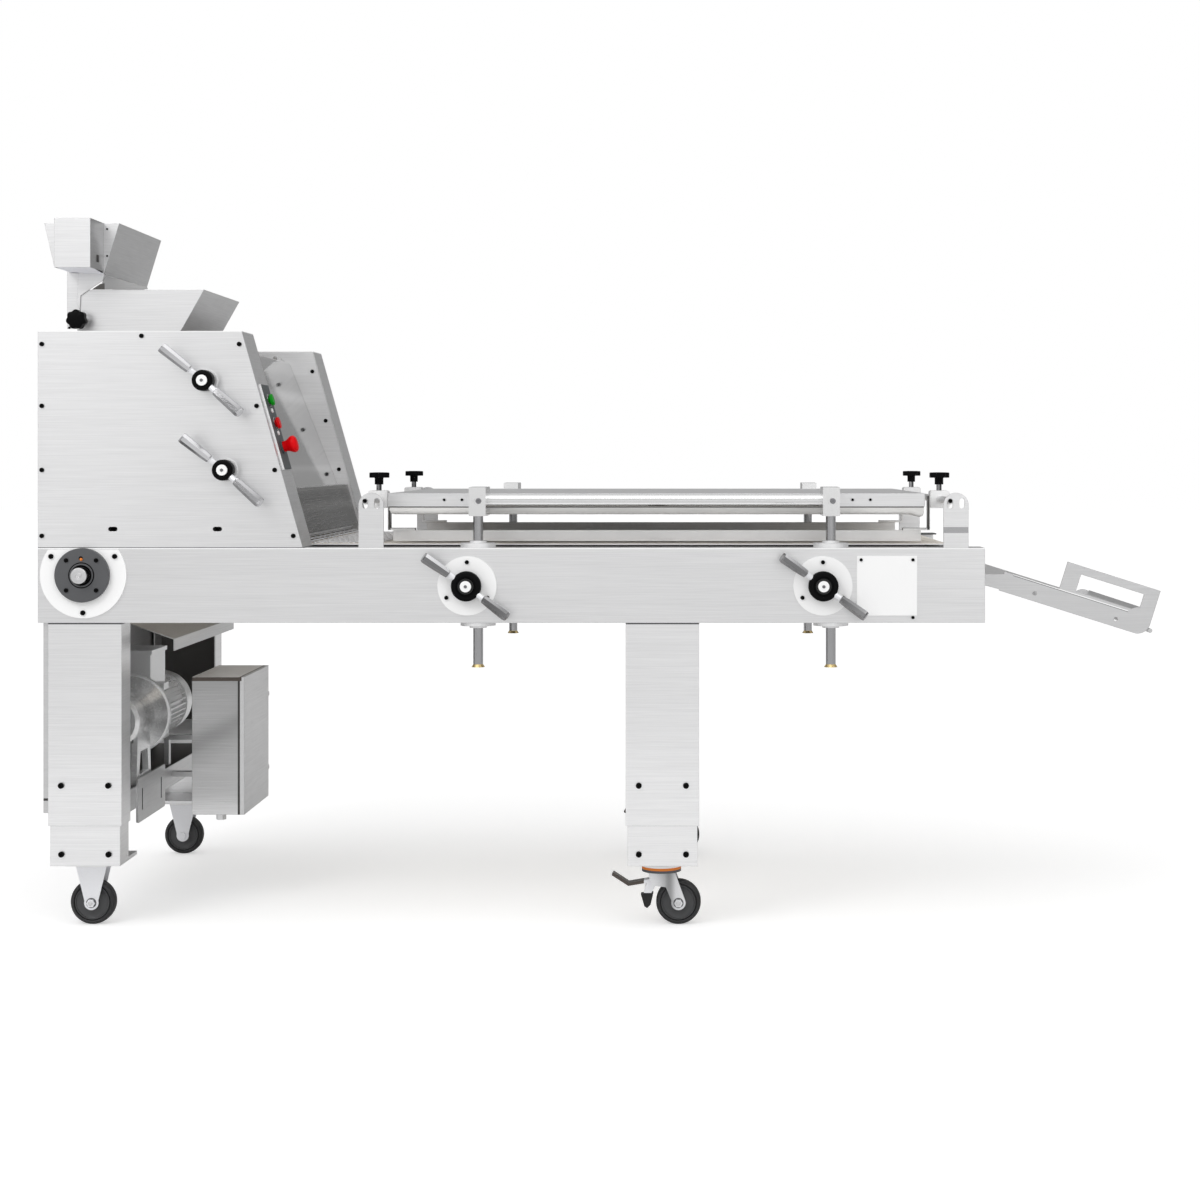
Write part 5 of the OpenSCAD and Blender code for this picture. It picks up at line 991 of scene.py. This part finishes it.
def cover_screw_points():
    """Socket screws of the housings, legs, discs and bearing plate, as place, facing and size."""
    points = []
    for side in (-1, 1):
        out = (0, side, 0)
        for h in COVER_SCREW_H:
            front = FRONT_SCREW_X - h * HEAD_FALL[0] / HEAD_FALL[1]
            for x in (REAR_SCREW_X, front):
                points.append(((x, side * HOUSING_FACE, BEAM_TOP + h), out, 1.0))
        points.append(((TOP_SCREW[0], side * HOUSING_FACE, BEAM_TOP + TOP_SCREW[1]), out, 1.0))
        for x in (leg + off for leg in LEGS_X for off in (-LEG_SCREW_OFF, LEG_SCREW_OFF)):
            points.append(((x, side * LEG_FACE, LEG_SCREW_Z), out, 1.3))
            points.append(((x, side * FOOT_FACE, FOOT_SCREW_Z), out, 1.3))
        for h in INNER_SCREW_H:
            place = (INNER_SCREW_X - h * INNER_FALL, side * INNER_FACE, BEAM_TOP + h)
            points.append((place, (0, -side, 0), 1.0))
        for x, z in LIFT_SHAFTS.values():
            for dx, dz in circle_points(DISC_SCREW_RADIUS, 3, math.pi / 2):
                points.append(((x + dx, side * DISC_FACE, z + dz), out, 0.9))
        for dx, dz in BEARING_SCREWS:
            points.append(((DRIVE[0] + dx, side * BEARING_FACE, DRIVE[1] + dz), out, 1.1))
    for x, down in PLATE_SCREWS:
        points.append(((x, -PLATE_FACE, BEAM_TOP + down), (0, -1, 0), 0.7))
    return points


class MOULDER_OT_screws(bpy.types.Operator):
    """Socket screws of the covers, legs, discs and plates"""

    bl_idname = "moulder.screws"
    bl_label = "Screws"

    def execute(self, context):
        shape = screw_shape("socket_screw", context.scene.moulder_sizes.screw_radius / MM, 4.0, 2.6)
        scatter("socket_screws", shape, cover_screw_points(), "machine", "screw",
                ["cover_screws"])
        return {"FINISHED"}


# Belt and pad

LOOP_IN, LOOP_OUT = 60.4, 63.3
BELT_EDGE = 0.5
BOARD = (-499.0, 711.0, 403.0)
PAD_BOTTOM, PAD_TOP = 913.5, 930.8
RISE_STEPS = 24


def belt_ring():
    """Directions and centres round the belt's loop, one for each cross-section."""
    stations = []
    for (cx, cz), start in ((TAIL, -90.0), (DRIVE, 90.0)):
        for i in range(33):
            angle = math.radians(start + 180.0 * i / 32)
            stations.append((cx, cz, math.cos(angle), math.sin(angle)))
    return stations


def belt_mesh(half):
    """The endless belt, half as wide to each side of the middle plane, with softened edges."""
    inside = [(LOOP_IN, -half + BELT_EDGE), (LOOP_IN, half - BELT_EDGE), (LOOP_IN + BELT_EDGE, half),
              (LOOP_OUT - BELT_EDGE, half)]
    section = inside + [(LOOP_IN + LOOP_OUT - r, -y) for r, y in inside]
    shape = bmesh.new()
    rings = [[shape.verts.new((cx + r * ux, y, cz + r * uz)) for r, y in section]
             for cx, cz, ux, uz in belt_ring()]
    for k, ring in enumerate(rings):
        join_rings(shape, ring, rings[(k + 1) % len(rings)])
    return close(shape, "belt_cloth")


def pad_profile(raised, inset):
    """The pad's outline seen from the side; its edges round upwards as raised grows."""
    x0, x1, _ = BOARD
    low = PAD_BOTTOM + raised
    points = [(x0 + 3 + inset, PAD_TOP)]
    for i in range(9):
        a = math.radians(180 + 90 * i / 8)
        points.append((x0 + 15 + inset + 12 * math.cos(a), max(low, PAD_BOTTOM + 12 + 12 * math.sin(a))))
    for i in range(1, RISE_STEPS):
        points.append((x0 + 15 + (x1 - x0 - 55) * i / RISE_STEPS, low - 0.25 * (i % 2)))
    points += [(x1 - 30, low), (x1 - 21, low - 3.5), (x1 - 14, low - 5.6)]
    for i in range(7):
        a = math.radians(270 + 90 * i / 6)
        points.append((x1 - 12 - inset + 10 * math.cos(a), max(low - 6, PAD_BOTTOM + 4 + 10 * math.sin(a))))
    points.append((x1 - 2 - inset, PAD_TOP))
    return points


def pad_mesh():
    """A felt pad with soft lower edges that is clamped under the folded board."""
    half = BOARD[2] - 1.0
    edge = [(half, 9.0, 1.0), (half - 0.5, 5.5, 0.5), (half - 2.2, 2.4, 0.0), (half - 5.0, 0.6, 0.0),
            (half - 9.0, 0.0, 0.0)]
    stations = [(-y, raised, inset) for y, raised, inset in edge]
    stations += [(y, 0.0, 0.0) for y in range(-300, 301, 100)]
    stations += reversed(edge)
    shape = bmesh.new()
    rings = [[shape.verts.new((x, y, z)) for x, z in pad_profile(raised, inset)]
             for y, raised, inset in stations]
    for a, b in zip(rings, rings[1:]):
        join_rings(shape, a, b)
    shape.faces.new(rings[0])
    shape.faces.new(list(reversed(rings[-1])))
    return close(shape, "pad_felt")


class MOULDER_OT_cloth(bpy.types.Operator):
    """Belt round both rollers and the felt pad under the press board"""

    bl_idname = "moulder.cloth"
    bl_label = "Belt and pad"

    def execute(self, context):
        half = context.scene.moulder_sizes.belt_width / MM / 2
        to_object("belt_cloth", belt_mesh(half), "machine", "belt_edges", ["belt"])
        pad = to_object("pad_felt", pad_mesh(), "lift", "pad_edges", ["board_pad"], sharp=60.0)
        return {"FINISHED"}


# Shaft bearings


def square_sleeve(shape, side):
    """The tail roller's bearing block, square outside and round inside."""
    x, z = TAIL
    bore, outer_face, inner_face = 15.3, 516.8, 492.0
    rings = []
    for i in range(48):
        angle = 2 * math.pi * i / 48
        c, s = math.cos(angle), math.sin(angle)
        reach = 32 / max(abs(c), abs(s))
        inner, outer = (bore * c, bore * s), (reach * c, min(20.0, reach * s))
        corners = ((inner, outer_face), (outer, outer_face), (outer, inner_face), (inner, inner_face))
        rings.append([shape.verts.new((x + px, side * y, z + pz)) for (px, pz), y in corners])
    for i, ring in enumerate(rings):
        join_rings(shape, rings[(i + 1) % len(rings)], ring)


def bearing_pieces(side, word):
    """Flange bearings of one side with black rings of painted shade in their gaps, grease nipple and the
    drive shaft's end face.
    """
    x, z = DRIVE
    place = facing_side(x, z, BEARING_FACE, side)
    flange = bmesh.new()
    lathe(flange, [(17.8, 0.3), (59.0, 0.3), (59.6, 0.9), (59.6, 12.6), (58.4, 14.0), (28.6, 14.0),
                   (28.2, 11.8), (26.4, 11.8), (25.9, 15.4), (24.2, 15.9), (22.8, 15.0), (22.0, 9.0),
                   (17.8, 8.6), (17.8, 0.3)], place, 96)
    square_sleeve(flange, side)
    to_object(word + "_bearings", close(flange, word + "_bearings"), "machine", "cast",
              ["shaft_bearings"] if side < 0 else [], sharp=30.0)
    # Black rings in the bearing's gap and groove: painted shade.
    gap_shade_rings = bmesh.new()
    lathe(gap_shade_rings, [(17.9, 8.7), (22.3, 8.7), (22.3, 14.7), (21.6, 14.7), (21.6, 9.6), (17.9, 9.6),
                 (17.9, 8.7)], place, 72)
    lathe(gap_shade_rings, [(25.9, 12.4), (28.6, 12.4), (28.6, 14.15), (25.9, 14.15), (25.9, 12.4)], place, 72)
    to_object(word + "_bearing_gaps", close(gap_shade_rings, word + "_bearing_gaps"), "machine", "black")
    turned(word + "_nipple_hole", [(0, 13.2), (4.4, 13.2), (4.4, 14.5), (0, 14.5)],
           facing_side(x - 1, z + 37.5, BEARING_FACE, side), 24, "machine", "black")
    turned(word + "_grease_nipple",
           [(0, 13.2), (3.2, 13.2), (3.2, 15.6), (2.2, 16.4), (2.4, 18.2), (1.5, 19.2), (0, 19.4)],
           facing_side(x, z + 35.0, BEARING_FACE, side), 20, "machine", "orange")
    turned(word + "_shaft_face",
           [(0, 35.9), (1.6, 35.9), (2.6, 36.5), (6.0, 36.5), (6.5, 36.1), (7.1, 36.1), (7.6, 36.5),
            (14.0, 36.5), (16.4, 36.4), (16.9, 35.9), (16.9, 34.2), (0, 34.2)],
           place, 48, "drive_roller", "rod")


class MOULDER_OT_bearings(bpy.types.Operator):
    """Flange bearings, grease nipples and shaft ends of the belt's rollers"""

    bl_idname = "moulder.bearings"
    bl_label = "Shaft bearings"

    def execute(self, context):
        bearing_pieces(-1, "near")
        bearing_pieces(1, "far")
        return {"FINISHED"}


# Bolts and rivets

BOLT_CIRCLE, FLANGE_FACE = 46.5, 539.4
RODS_X, ROD_FACE, ROD_Z = (-533.0, 754.0), 522.0, 946.0
CLAMP_OFF, CLAMP_FACE, CLAMP_Z = 3.0, 504.8, 945.5
RIVETS_X, RIVET_FACE, RIVET_Z = (-372.0, -332.0, 548.0, 588.0), 404.9, 946.5


class MOULDER_OT_bolts(bpy.types.Operator):
    """Screws of bearings and rods, bolts of the clamp blocks and rivets of the board"""

    bl_idname = "moulder.bolts"
    bl_label = "Bolts and rivets"

    def execute(self, context):
        radius = context.scene.moulder_sizes.screw_radius / MM
        x, z = DRIVE
        sides = [(side, (0, side, 0)) for side in (-1, 1)]
        bearings = [((x + dx, side * FLANGE_FACE, z + dz), out, 0.95)
                    for side, out in sides for dx, dz in circle_points(BOLT_CIRCLE, 4, math.pi / 4)]
        rods = [((rod, side * ROD_FACE, ROD_Z), out, 0.95) for side, out in sides for rod in RODS_X]
        clamps = [((post + CLAMP_OFF, side * CLAMP_FACE, CLAMP_Z), out, 1.25)
                  for side, out in sides for post in POSTS_X]
        rivets = [((rivet, side * RIVET_FACE, RIVET_Z), out, 1.0)
                  for side, out in sides for rivet in RIVETS_X]
        scatter("bearing_and_rod_screws", screw_shape("clamp_bolt", radius, 4.0, 2.6), bearings + rods,
                "machine", "screw")
        scatter("clamp_bolts", screw_shape("lift_bolt", radius, 4.0, 2.6), clamps, "lift", "bolt")
        scatter("board_rivets", screw_shape("rivet", 3.0, 1.4, 1.5), rivets, "lift", "screw")
        return {"FINISHED"}


# Hopper fittings

# Sheet between the hopper's neck and its floor, with plates of painted shade at the fold and the edge in
# front, as X and Z
HOPPER_WEB = [(-1233.0, 1384.0), (-1231.5, 1417.0), (-1206.0, 1434.5), (-1181.0, 1451.0), (-1176.5, 1464.0),
              (-1180.0, 1476.0), (-1236.0, 1476.0), (-1240.0, 1400.0)]
HOPPER_FOLD_SHADOW = [(-1205.2, 1431.5), (-1185.7, 1444.4), (-1176.0, 1446.0), (-1176.0, 1431.5)]
HOPPER_EDGE_SHADE = [(-1173.4, 1463.7), (-1077.2, 1436.6), (-1076.1, 1432.4), (-1176.5, 1431.6), (-1182.0, 1446.8)]
BOX_FLOOR = [(-1258.5, -369.8, 1474.0), (-1179.5, -369.8, 1474.0), (-1179.5, -258.0, 1466.8),
             (-1217.0, -258.0, 1466.0), (-1258.5, -258.0, 1471.5)]
FLOOR_SHEET = 1.6
HOPPER_SCREW_FACE = 258.3
HOPPER_SCREWS = ((-1170.0, 1571.6, 0.75), (-1170.0, 1509.2, 0.75), (-1258.0, 1367.0, 0.9),
                 (-1258.0, 1342.5, 0.9))


def box_floor():
    """Underside of the side box, which falls towards the hopper, painted pale as painted light where it lies
    in shade.
    """
    shape = bmesh.new()
    low = [shape.verts.new(corner) for corner in BOX_FLOOR]
    high = [shape.verts.new((x, y, z + FLOOR_SHEET)) for x, y, z in BOX_FLOOR]
    shape.faces.new(low)
    shape.faces.new(list(reversed(high)))
    join_rings(shape, low, high)
    to_object("hopper_box_floor", close(shape, "hopper_box_floor"), "upper_hopper", "pale")


class MOULDER_OT_hopper_fittings(bpy.types.Operator):
    """Screws, clip and web of the upper hopper, plates of painted shade at its fold and edge, and a box
    floor painted pale as painted light
    """

    bl_idname = "moulder.hopper_fittings"
    bl_label = "Hopper fittings"

    def execute(self, context):
        spots = [((x, -HOPPER_SCREW_FACE, z), (0, -1, 0), size) for x, z, size in HOPPER_SCREWS]
        scatter("hopper_screws", screw_shape("hopper_screw", 3.0, 1.6, 1.5), spots, "upper_hopper", "screw")
        clip = bmesh.new()
        brick(clip, (-1180.4, -318, 1490), (-1176.6, -303, 1507), 1.2)
        to_object("hopper_clip", close(clip, "hopper_clip"), "upper_hopper", "dark")
        face = frame_of((0, -HOPPER_FACE, 0), (0, -1, 0), (1, 0, 0))
        # The fold and the edge are thin plates of painted shade.
        for name, outline, thick, look in (("hopper_web", HOPPER_WEB, 2.0, "sheet"),
                                           ("hopper_fold", HOPPER_FOLD_SHADOW, 1.4, "deep"),
                                           ("hopper_edge", HOPPER_EDGE_SHADE, 1.0, "shade")):
            cut_plate(name, outline, face, thick, "upper_hopper", look)
        box_floor()
        return {"FINISHED"}


# Stand fittings

SLOTS_Y = (-290.0, -110.0)
NUT_OFF = 23.0
AXLES = (("near_left_wheel", "near_rigid", "machine"),
         ("near_right_wheel", "near_swivel", "near_swivel_fork"),
         ("far_left_wheel", "far_rigid", "machine"),
         ("far_right_wheel", "far_swivel", "far_swivel_fork"))


def axle_nut(nuts, washers, x, y, side):
    """Washer, hexagon nut and bolt end on the outer side of a fork."""
    place = frame_of((x, y + side * NUT_OFF, WHEEL_Z), (0, side, 0), (1, 0, 0))
    lathe(washers, [(0, -0.4), (11.2, -0.4), (11.2, 1.0), (10.6, 1.5), (0, 1.5)], place, 40)
    prism(nuts, circle_points(9.2, 6, 0.3), place, 1.4, 6.0, 0.7)
    lathe(nuts, [(0, 5.9), (4.9, 5.9), (4.9, 8.4), (4.2, 9.0), (0, 9.0)], place, 24)


class MOULDER_OT_stand_fittings(bpy.types.Operator):
    """Shadow plate behind the tension slots, and the nuts and washers of the castors' axles"""

    bl_idname = "moulder.stand_fittings"
    bl_label = "Stand fittings"

    def execute(self, context):
        backing = bmesh.new()
        for y in SLOTS_Y:
            brick(backing, (-1085.0, y - 3.9, 230.2), (-1084.0, y + 3.9, 279.8))
        to_object("slot_shadow_plate", close(backing, "slot_shadow_plate"), "machine", "dark")
        for wheel, name, body in AXLES:
            x, y = WHEELS[wheel]
            nuts, washers = bmesh.new(), bmesh.new()
            axle_nut(nuts, washers, x, y, math.copysign(1, y))
            to_object(name + "_axle_nut", close(nuts, name + "_axle_nut"), body, "rod")
            to_object(name + "_washer", close(washers, name + "_washer"), body, "cast")
        return {"FINISHED"}


# Stage

FLOOR_HALF, FLOOR_GREY, FLOOR_GLOW = 40.0, 0.80, 0.42
DEPTH_LEVELS = ((-1.0, 0.66), (-0.3, 0.62), (0.5, 0.33), (1.0, 0.24))
SIDE_FLAGS = ((-1.0, 0.15), (-0.84, 0.8), (-0.66, 1.0), (-0.5, 0.5), (-0.4, 0.6), (-0.28, 1.0),
              (0.25, 1.0), (0.36, 0.42), (0.46, 0.5), (0.62, 1.0), (0.84, 0.7), (1.0, 0.15))
HEIGHT_FLAGS = ((-1.0, 0.8), (-0.45, 0.75), (-0.25, 0.95), (0.2, 1.0), (0.34, 0.42), (0.48, 0.5),
                (0.66, 2.0), (0.84, 2.0), (1.0, 1.4))


def stage_world():
    """White for the camera; for the rest a soft studio whose bands of light show on bright metal."""
    world = bpy.data.worlds.new("studio")
    bpy.context.scene.world = world
    world.use_nodes = True
    world.node_tree.nodes.clear()
    node = partial(add_node, world.node_tree)

    def product(first, second):
        return node("ShaderNodeMath", {0: first, 1: second}, operation="MULTIPLY").outputs[0]

    coords = node("ShaderNodeTexCoord")
    x, y, z = node("ShaderNodeSeparateXYZ", {0: coords.outputs["Generated"]}).outputs
    depth = grey_ramp(node, y, -1.0, 1.0, DEPTH_LEVELS, "EASE")
    flags_x = grey_ramp(node, x, -1.0, 1.0, SIDE_FLAGS, "EASE")
    flags_z = grey_ramp(node, z, -1.0, 1.0, HEIGHT_FLAGS, "EASE")
    rise = node("ShaderNodeMapRange", {"Value": z, "From Min": -0.6, "From Max": 0.9, "To Min": 1.15,
                                       "To Max": 1.72})
    plain = product(depth, rise.outputs["Result"])
    shiny = product(product(depth, 1.5), product(flags_x, flags_z))
    path = node("ShaderNodeLightPath").outputs
    lit = node("ShaderNodeMix", {0: path["Is Glossy Ray"], 2: plain, 3: shiny}, data_type="FLOAT")
    seen = node("ShaderNodeMath", {0: path["Is Camera Ray"], 1: path["Is Transmission Ray"]},
                operation="MAXIMUM")
    strength = node("ShaderNodeMix", {0: seen.outputs[0], 2: lit.outputs[0], 3: 1.0}, data_type="FLOAT")
    glow = node("ShaderNodeBackground", {"Color": (1.0, 1.0, 1.0, 1.0), "Strength": strength.outputs[0]})
    node("ShaderNodeOutputWorld", {"Surface": glow.outputs[0]})


def stage_floor():
    """A pale floor that the camera sees as white and that keeps the machine's shadow."""
    mesh = bpy.data.meshes.new("floor")
    corners = [(x * FLOOR_HALF, y * FLOOR_HALF, 0) for x, y in ((-1, -1), (1, -1), (1, 1), (-1, 1))]
    mesh.from_pydata(corners, [], [(0, 1, 2, 3)])
    floor = bpy.data.objects.new("floor", mesh)
    bpy.context.scene.collection.objects.link(floor)
    material = bpy.data.materials.new("floor_white")
    material.use_nodes = True
    material.node_tree.nodes.clear()
    node = partial(add_node, material.node_tree)
    path = node("ShaderNodeLightPath")
    diffuse = node("ShaderNodeBsdfDiffuse", {"Color": (FLOOR_GREY, FLOOR_GREY, FLOOR_GREY, 1.0)})
    part = node("ShaderNodeMath", {0: path.outputs["Is Camera Ray"], 1: FLOOR_GLOW}, operation="MULTIPLY")
    glow = node("ShaderNodeEmission", {"Strength": part.outputs[0]})
    both = node("ShaderNodeAddShader", {0: diffuse.outputs[0], 1: glow.outputs[0]})
    node("ShaderNodeOutputMaterial", {"Surface": both.outputs[0]})
    mesh.materials.append(material)


def soft_light(name, place, aim, size, power):
    """A square area light that looks at a point."""
    data = bpy.data.lights.new(name, "AREA")
    data.shape = "RECTANGLE"
    data.size = size
    data.size_y = size
    data.energy = power
    lamp = bpy.data.objects.new(name, data)
    bpy.context.scene.collection.objects.link(lamp)
    lamp.location = place
    lamp.rotation_euler = (Vector(aim) - Vector(place)).to_track_quat("-Z", "Y").to_euler()


def stage_camera():
    """The photograph's camera: level, square to the near side, its principal point off the middle."""
    data = bpy.data.cameras.new("camera")
    data.lens = FOCAL
    data.sensor_width = 36.0
    data.sensor_fit = "HORIZONTAL"
    data.shift_x = (PHOTO_SIZE / 2 - PRINCIPAL[0]) / PHOTO_SIZE
    data.shift_y = (PRINCIPAL[1] - PHOTO_SIZE / 2) / PHOTO_SIZE
    data.clip_end = 200.0
    camera = bpy.data.objects.new("camera", data)
    bpy.context.scene.collection.objects.link(camera)
    camera.location = CAMERA_AT
    camera.rotation_euler = (math.pi / 2, 0, 0)
    bpy.context.scene.camera = camera


class MOULDER_OT_stage(bpy.types.Operator):
    """Camera, plain pale floor and soft studio light"""

    bl_idname = "moulder.stage"
    bl_label = "Stage"

    def execute(self, context):
        look = context.scene.moulder_finish
        stage_camera()
        stage_world()
        stage_floor()
        soft_light("key", (-2.6, -3.6, 3.6), (-0.3, 0, 0.8), 2.0, look.key_power)
        soft_light("fill", (2.2, -5.2, 2.2), (0.1, 0, 0.7), 2.5, look.fill_power)
        context.scene.view_settings.view_transform = "Standard"
        return {"FINISHED"}


class MOULDER_OT_finishes(bpy.types.Operator):
    """Procedural finishes for every solid that stays in view"""

    bl_idname = "moulder.finishes"
    bl_label = "Finishes"

    def execute(self, context):
        look = context.scene.moulder_finish
        sheet_finishes(tuple(look.sheet_color))
        bar_finishes()
        coat_finishes(look)
        reflected_bands()
        patched_finishes()
        for name, nodes in CAD_LOOKS.items():
            for node in nodes:
                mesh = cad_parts[node].data
                mesh.materials.clear()
                mesh.materials.append(finish(name))
        return {"FINISHED"}


# Sizes and colours that a user would change


def length_size(name, description, default):
    return bpy.props.FloatProperty(name=name, description=description, default=default, min=0.0,
                                   unit="LENGTH")


def finish_color(name, description, default):
    return bpy.props.FloatVectorProperty(name=name, description=description, default=default, min=0.0,
                                         max=1.0, subtype="COLOR")


class MoulderSizes(bpy.types.PropertyGroup):
    """Sizes of the detail pieces, in metres"""

    lift_hub_radius: length_size("Lift hub radius", "Radius of the hubs on the lift levers", 0.033)
    gap_hub_radius: length_size("Gap hub radius", "Radius of the hubs on the roller gap levers", 0.023)
    grip_length: length_size("Grip length", "Length of a lever's grip from the middle of its hub", 0.115)
    knob_radius: length_size("Guide knob radius", "Radius over the lobes of the guide knobs", 0.0238)
    hopper_knob_radius: length_size("Hopper knob radius", "Radius of the hopper's knob", 0.0228)
    screw_radius: length_size("Screw head radius", "Radius of a socket screw's head", 0.005)
    belt_width: length_size("Belt width", "Width of the conveyor belt", 0.76)


class MoulderFinish(bpy.types.PropertyGroup):
    """Colours, weave and lights"""

    sheet_color: finish_color("Sheet colour", "Base colour of the brushed sheet", (0.80, 0.80, 0.805))
    belt_color: finish_color("Belt colour", "Base colour of the belt's cloth", (0.97, 0.89, 0.81))
    start_color: finish_color("Start colour", "Base colour of the start button", (0.0, 0.34, 0.008))
    stop_color: finish_color("Stop colour", "Base colour of both stop buttons", (0.74, 0.001, 0.004))
    weave_pitch: length_size("Weave pitch", "Distance between two threads of the belt", 0.0016)
    key_power: bpy.props.FloatProperty(
        name="Key light", description="Power of the key light", default=42.0, min=0.0, unit="POWER")
    fill_power: bpy.props.FloatProperty(
        name="Fill light", description="Power of the fill light", default=12.0, min=0.0, unit="POWER")


class MOULDER_PT_panel(bpy.types.Panel):
    bl_label = "Moulder"
    bl_idname = "MOULDER_PT_panel"
    bl_space_type = "VIEW_3D"
    bl_region_type = "UI"
    bl_category = "Moulder"

    def draw(self, context):
        for group in (context.scene.moulder_sizes, context.scene.moulder_finish):
            for name in type(group).__annotations__:
                self.layout.prop(group, name)
        for step in STEPS:
            self.layout.operator(step.bl_idname)


STEPS = (MOULDER_OT_stage, MOULDER_OT_finishes, MOULDER_OT_levers, MOULDER_OT_knobs, MOULDER_OT_controls,
         MOULDER_OT_wheels, MOULDER_OT_screws, MOULDER_OT_cloth, MOULDER_OT_bearings, MOULDER_OT_bolts,
         MOULDER_OT_hopper_fittings, MOULDER_OT_stand_fittings)
CLASSES = (MoulderSizes, MoulderFinish, *STEPS, MOULDER_PT_panel)


def register():
    for made in CLASSES:
        bpy.utils.register_class(made)
    bpy.types.Scene.moulder_sizes = bpy.props.PointerProperty(type=MoulderSizes)
    bpy.types.Scene.moulder_finish = bpy.props.PointerProperty(type=MoulderFinish)


def unregister():
    del bpy.types.Scene.moulder_finish
    del bpy.types.Scene.moulder_sizes
    for made in reversed(CLASSES):
        bpy.utils.unregister_class(made)


def main():
    register()
    for step in STEPS:
        group, name = step.bl_idname.split(".")
        getattr(getattr(bpy.ops, group), name)()


if __name__ == "__main__":
    main()
